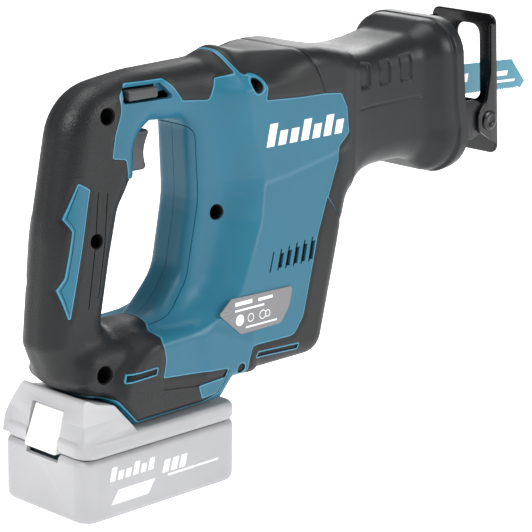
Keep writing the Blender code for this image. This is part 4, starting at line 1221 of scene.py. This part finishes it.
def build_battery():
    """The sliding pack: case, lid with its hump and tongue, release button and printed marks."""
    outline = rectangle((BATTERY_REAR, BATTERY_FRONT), (-BATTERY_HALF, BATTERY_HALF), 11)
    case = pillow("case", outline, 0, 37.2, 4, "Z", 7)
    lid = pillow("lid", outline, 37.5, 48, 3.6, "Z", 7)
    hump_side = [(-5.6, 40, 0), (38, 40, 0), (38, 46.5, 0), (34.5, 48, 3),
                 (22.6, 63.9, 3), (11, 66.4, 3), (2.6, 70.6, 2.5), (-2.4, 58, 12)]
    hump = pillow("hump", hump_side, -36.4, 36.4, 2)
    taper = [(-36.5, 38, 0), (36.5, 38, 0), (36.5, 46, 4), (25, 74, 3),
             (-25, 74, 3), (-36.5, 46, 4)]
    crop(hump, prism("taper", rounded(taper), -20, FAR, "X"), solver="EXACT")
    hollow_case = pillow("case_hollow", inset(outline, CASE_WALL), 2.6, 60, 1, "Z")
    well_range = (-BUTTON_WELL_HALF, BUTTON_WELL_HALF)
    cut(case, hollow_case, block("pocket", (-20, 1.5), well_range, (32.5, 60)), solver="EXACT")
    tongue = block("tongue", (34, 110), (-22, 22), (46, 56.5), 0.8)
    add(lid, hump, tongue, solver="EXACT")
    slots = [block("slot", (74, 130), (middle - 1.6, middle + 1.6), (50, 70))
             for middle in (-10, 10)]
    cut(lid, *slots, block("well", (-20, 12), well_range, (30, 62)), solver="EXACT")
    finish_piece(case, "battery_shell", battery_grey, "battery", "battery_plastic", "battery_case")
    finish_piece(lid, "battery_top", battery_grey, "battery", "battery_plastic", "battery_lid")
    button = [(-8.8, 37, 1.5), (0.5, 37, 1), (4, 46, 1), (11.4, 49, 1),
              (11.4, 61.4, 1), (0.6, 61.4, 2)]
    key = pillow("key", button, -13.2, 13.2, 1.4)
    finish_piece(key, "battery_release", button_white, "battery_button", "button_plastic", "battery_button")
    marks = [slanted(13, 9, 28, 8, 5.5), slanted(56, 16, 40, 1.2, 1)]
    marks += [slanted(12.0 + 5.8 * k, 23, 3.8, tall, BAR_LEAN * tall)
              for k, tall in enumerate((8, 5, 5, 7.5, 5, 7))]
    marks += [slanted(52.0 + 6.6 * k, 18.6, 4.6, 7.4, 2) for k in range(3)]
    prints = join_all([prism("mark", outline, -BATTERY_HALF - 0.06, -37.2) for outline in marks])
    finish_piece(prints, "battery_print", print_white, "battery", "battery_plastic")


build_battery()


def build_label():
    """The rating plate, printed with plain bars and rings."""
    outline = [(99.5, 102.6, 1), (109, 110.2, 1), (159.8, 109, 2), (157.5, 98, 4),
               (150.4, 88.2, 4), (117, 87.8, 3)]
    front = -BODY_HALF - 0.68
    print_range = (front - 0.02, front + 0.1)
    label = pillow("label", outline, front, -BODY_HALF - 0.1, 0.15, steps=2)
    finish_piece(label, "rating_plate", label_film, "saw_body", "label_film", "rating_label")
    bars = [(112, 105.2, 14, 2.4), (131, 105.2, 12, 1.8), (112, 101.8, 24, 1.2),
            (121, 90.6, 26, 1)]
    marks = [prism("bar", slanted(x, z, wide, tall, 0), *print_range) for x, z, wide, tall in bars]
    for x, radius, thick in ((116, 3.4, 3.4), (125, 2.6, 0.5), (135, 2.8, 0.5), (139, 2.2, 0.5)):
        bottom, top = print_range
        profile = [(radius - thick, top), (radius, top), (radius, bottom), (radius - thick, bottom)]
        marks.append(turned("ring", profile, (x, 0, 96.4), "Y", 32))
    finish_piece(join_all(marks), "rating_print", print_white, "saw_body", "label_film")


build_label()

# ---- stage

# The camera's place in the saw's own millimetres, and the directions to its right and behind it.
CAMERA_PLACE = (-808.36, -957.93, 480.02)
CAMERA_RIGHT = Vector((0.70168, -0.71231, 0.01603))
CAMERA_BACK = Vector((-0.69097, -0.67482, 0.25917))


def build_stage():
    """A pale floor, soft light and the camera."""
    floor_look = bpy.data.materials.new("studio_floor")
    floor_look.use_nodes = True
    shader = floor_look.node_tree.nodes["Principled BSDF"]
    set_values(shader, Base_Color=(0.90, 0.90, 0.90, 1), Roughness=0.75, Emission_Color=(1, 1, 1, 1),
               Emission_Strength=0.74)
    bpy.ops.mesh.primitive_plane_add(size=24, location=(0, 0, -0.0005))
    floor = bpy.context.object
    floor.name = "studio_floor"
    floor.data.materials.append(floor_look)

    world = bpy.data.worlds.new("studio")
    bpy.context.scene.world = world
    world.use_nodes = True
    set_values(world.node_tree.nodes["Background"], Color=(1, 1, 1, 1), Strength=0.26)
    bpy.context.scene.view_settings.view_transform = "Standard"

    target = Vector((0, 0, 0.13))
    for name, at, size, power in (
        ("key", (0.9, -1.8, 1), 0.9, 27),
        ("top", (-0.1, 0.2, 1.6), 0.8, 14),
        ("left", (-1.4, -0.1, 1.3), 0.5, 22),
        ("rim", (1.3, 0.9, 0.8), 0.7, 8),
    ):
        lamp = bpy.data.lights.new(name, "AREA")
        lamp.shape = "SQUARE"
        lamp.size = size
        lamp.energy = power
        obj = linked(name, lamp)
        obj.location = at
        obj.rotation_mode = "QUATERNION"
        obj.rotation_quaternion = (target - Vector(at)).to_track_quat("-Z", "Y")

    camera = bpy.data.cameras.new("camera")
    camera.sensor_width = 36.0
    camera.lens = 157.9
    camera.clip_end = 50.0
    view = linked("camera", camera)
    up = CAMERA_BACK.cross(CAMERA_RIGHT)
    turn = Matrix((CAMERA_RIGHT, up, CAMERA_BACK)).transposed().to_4x4()
    x, y, z = CAMERA_PLACE
    view.matrix_world = Matrix.Translation(((x + ORIGIN_X) * MM, y * MM, z * MM)) @ turn
    bpy.context.scene.camera = view


build_stage()
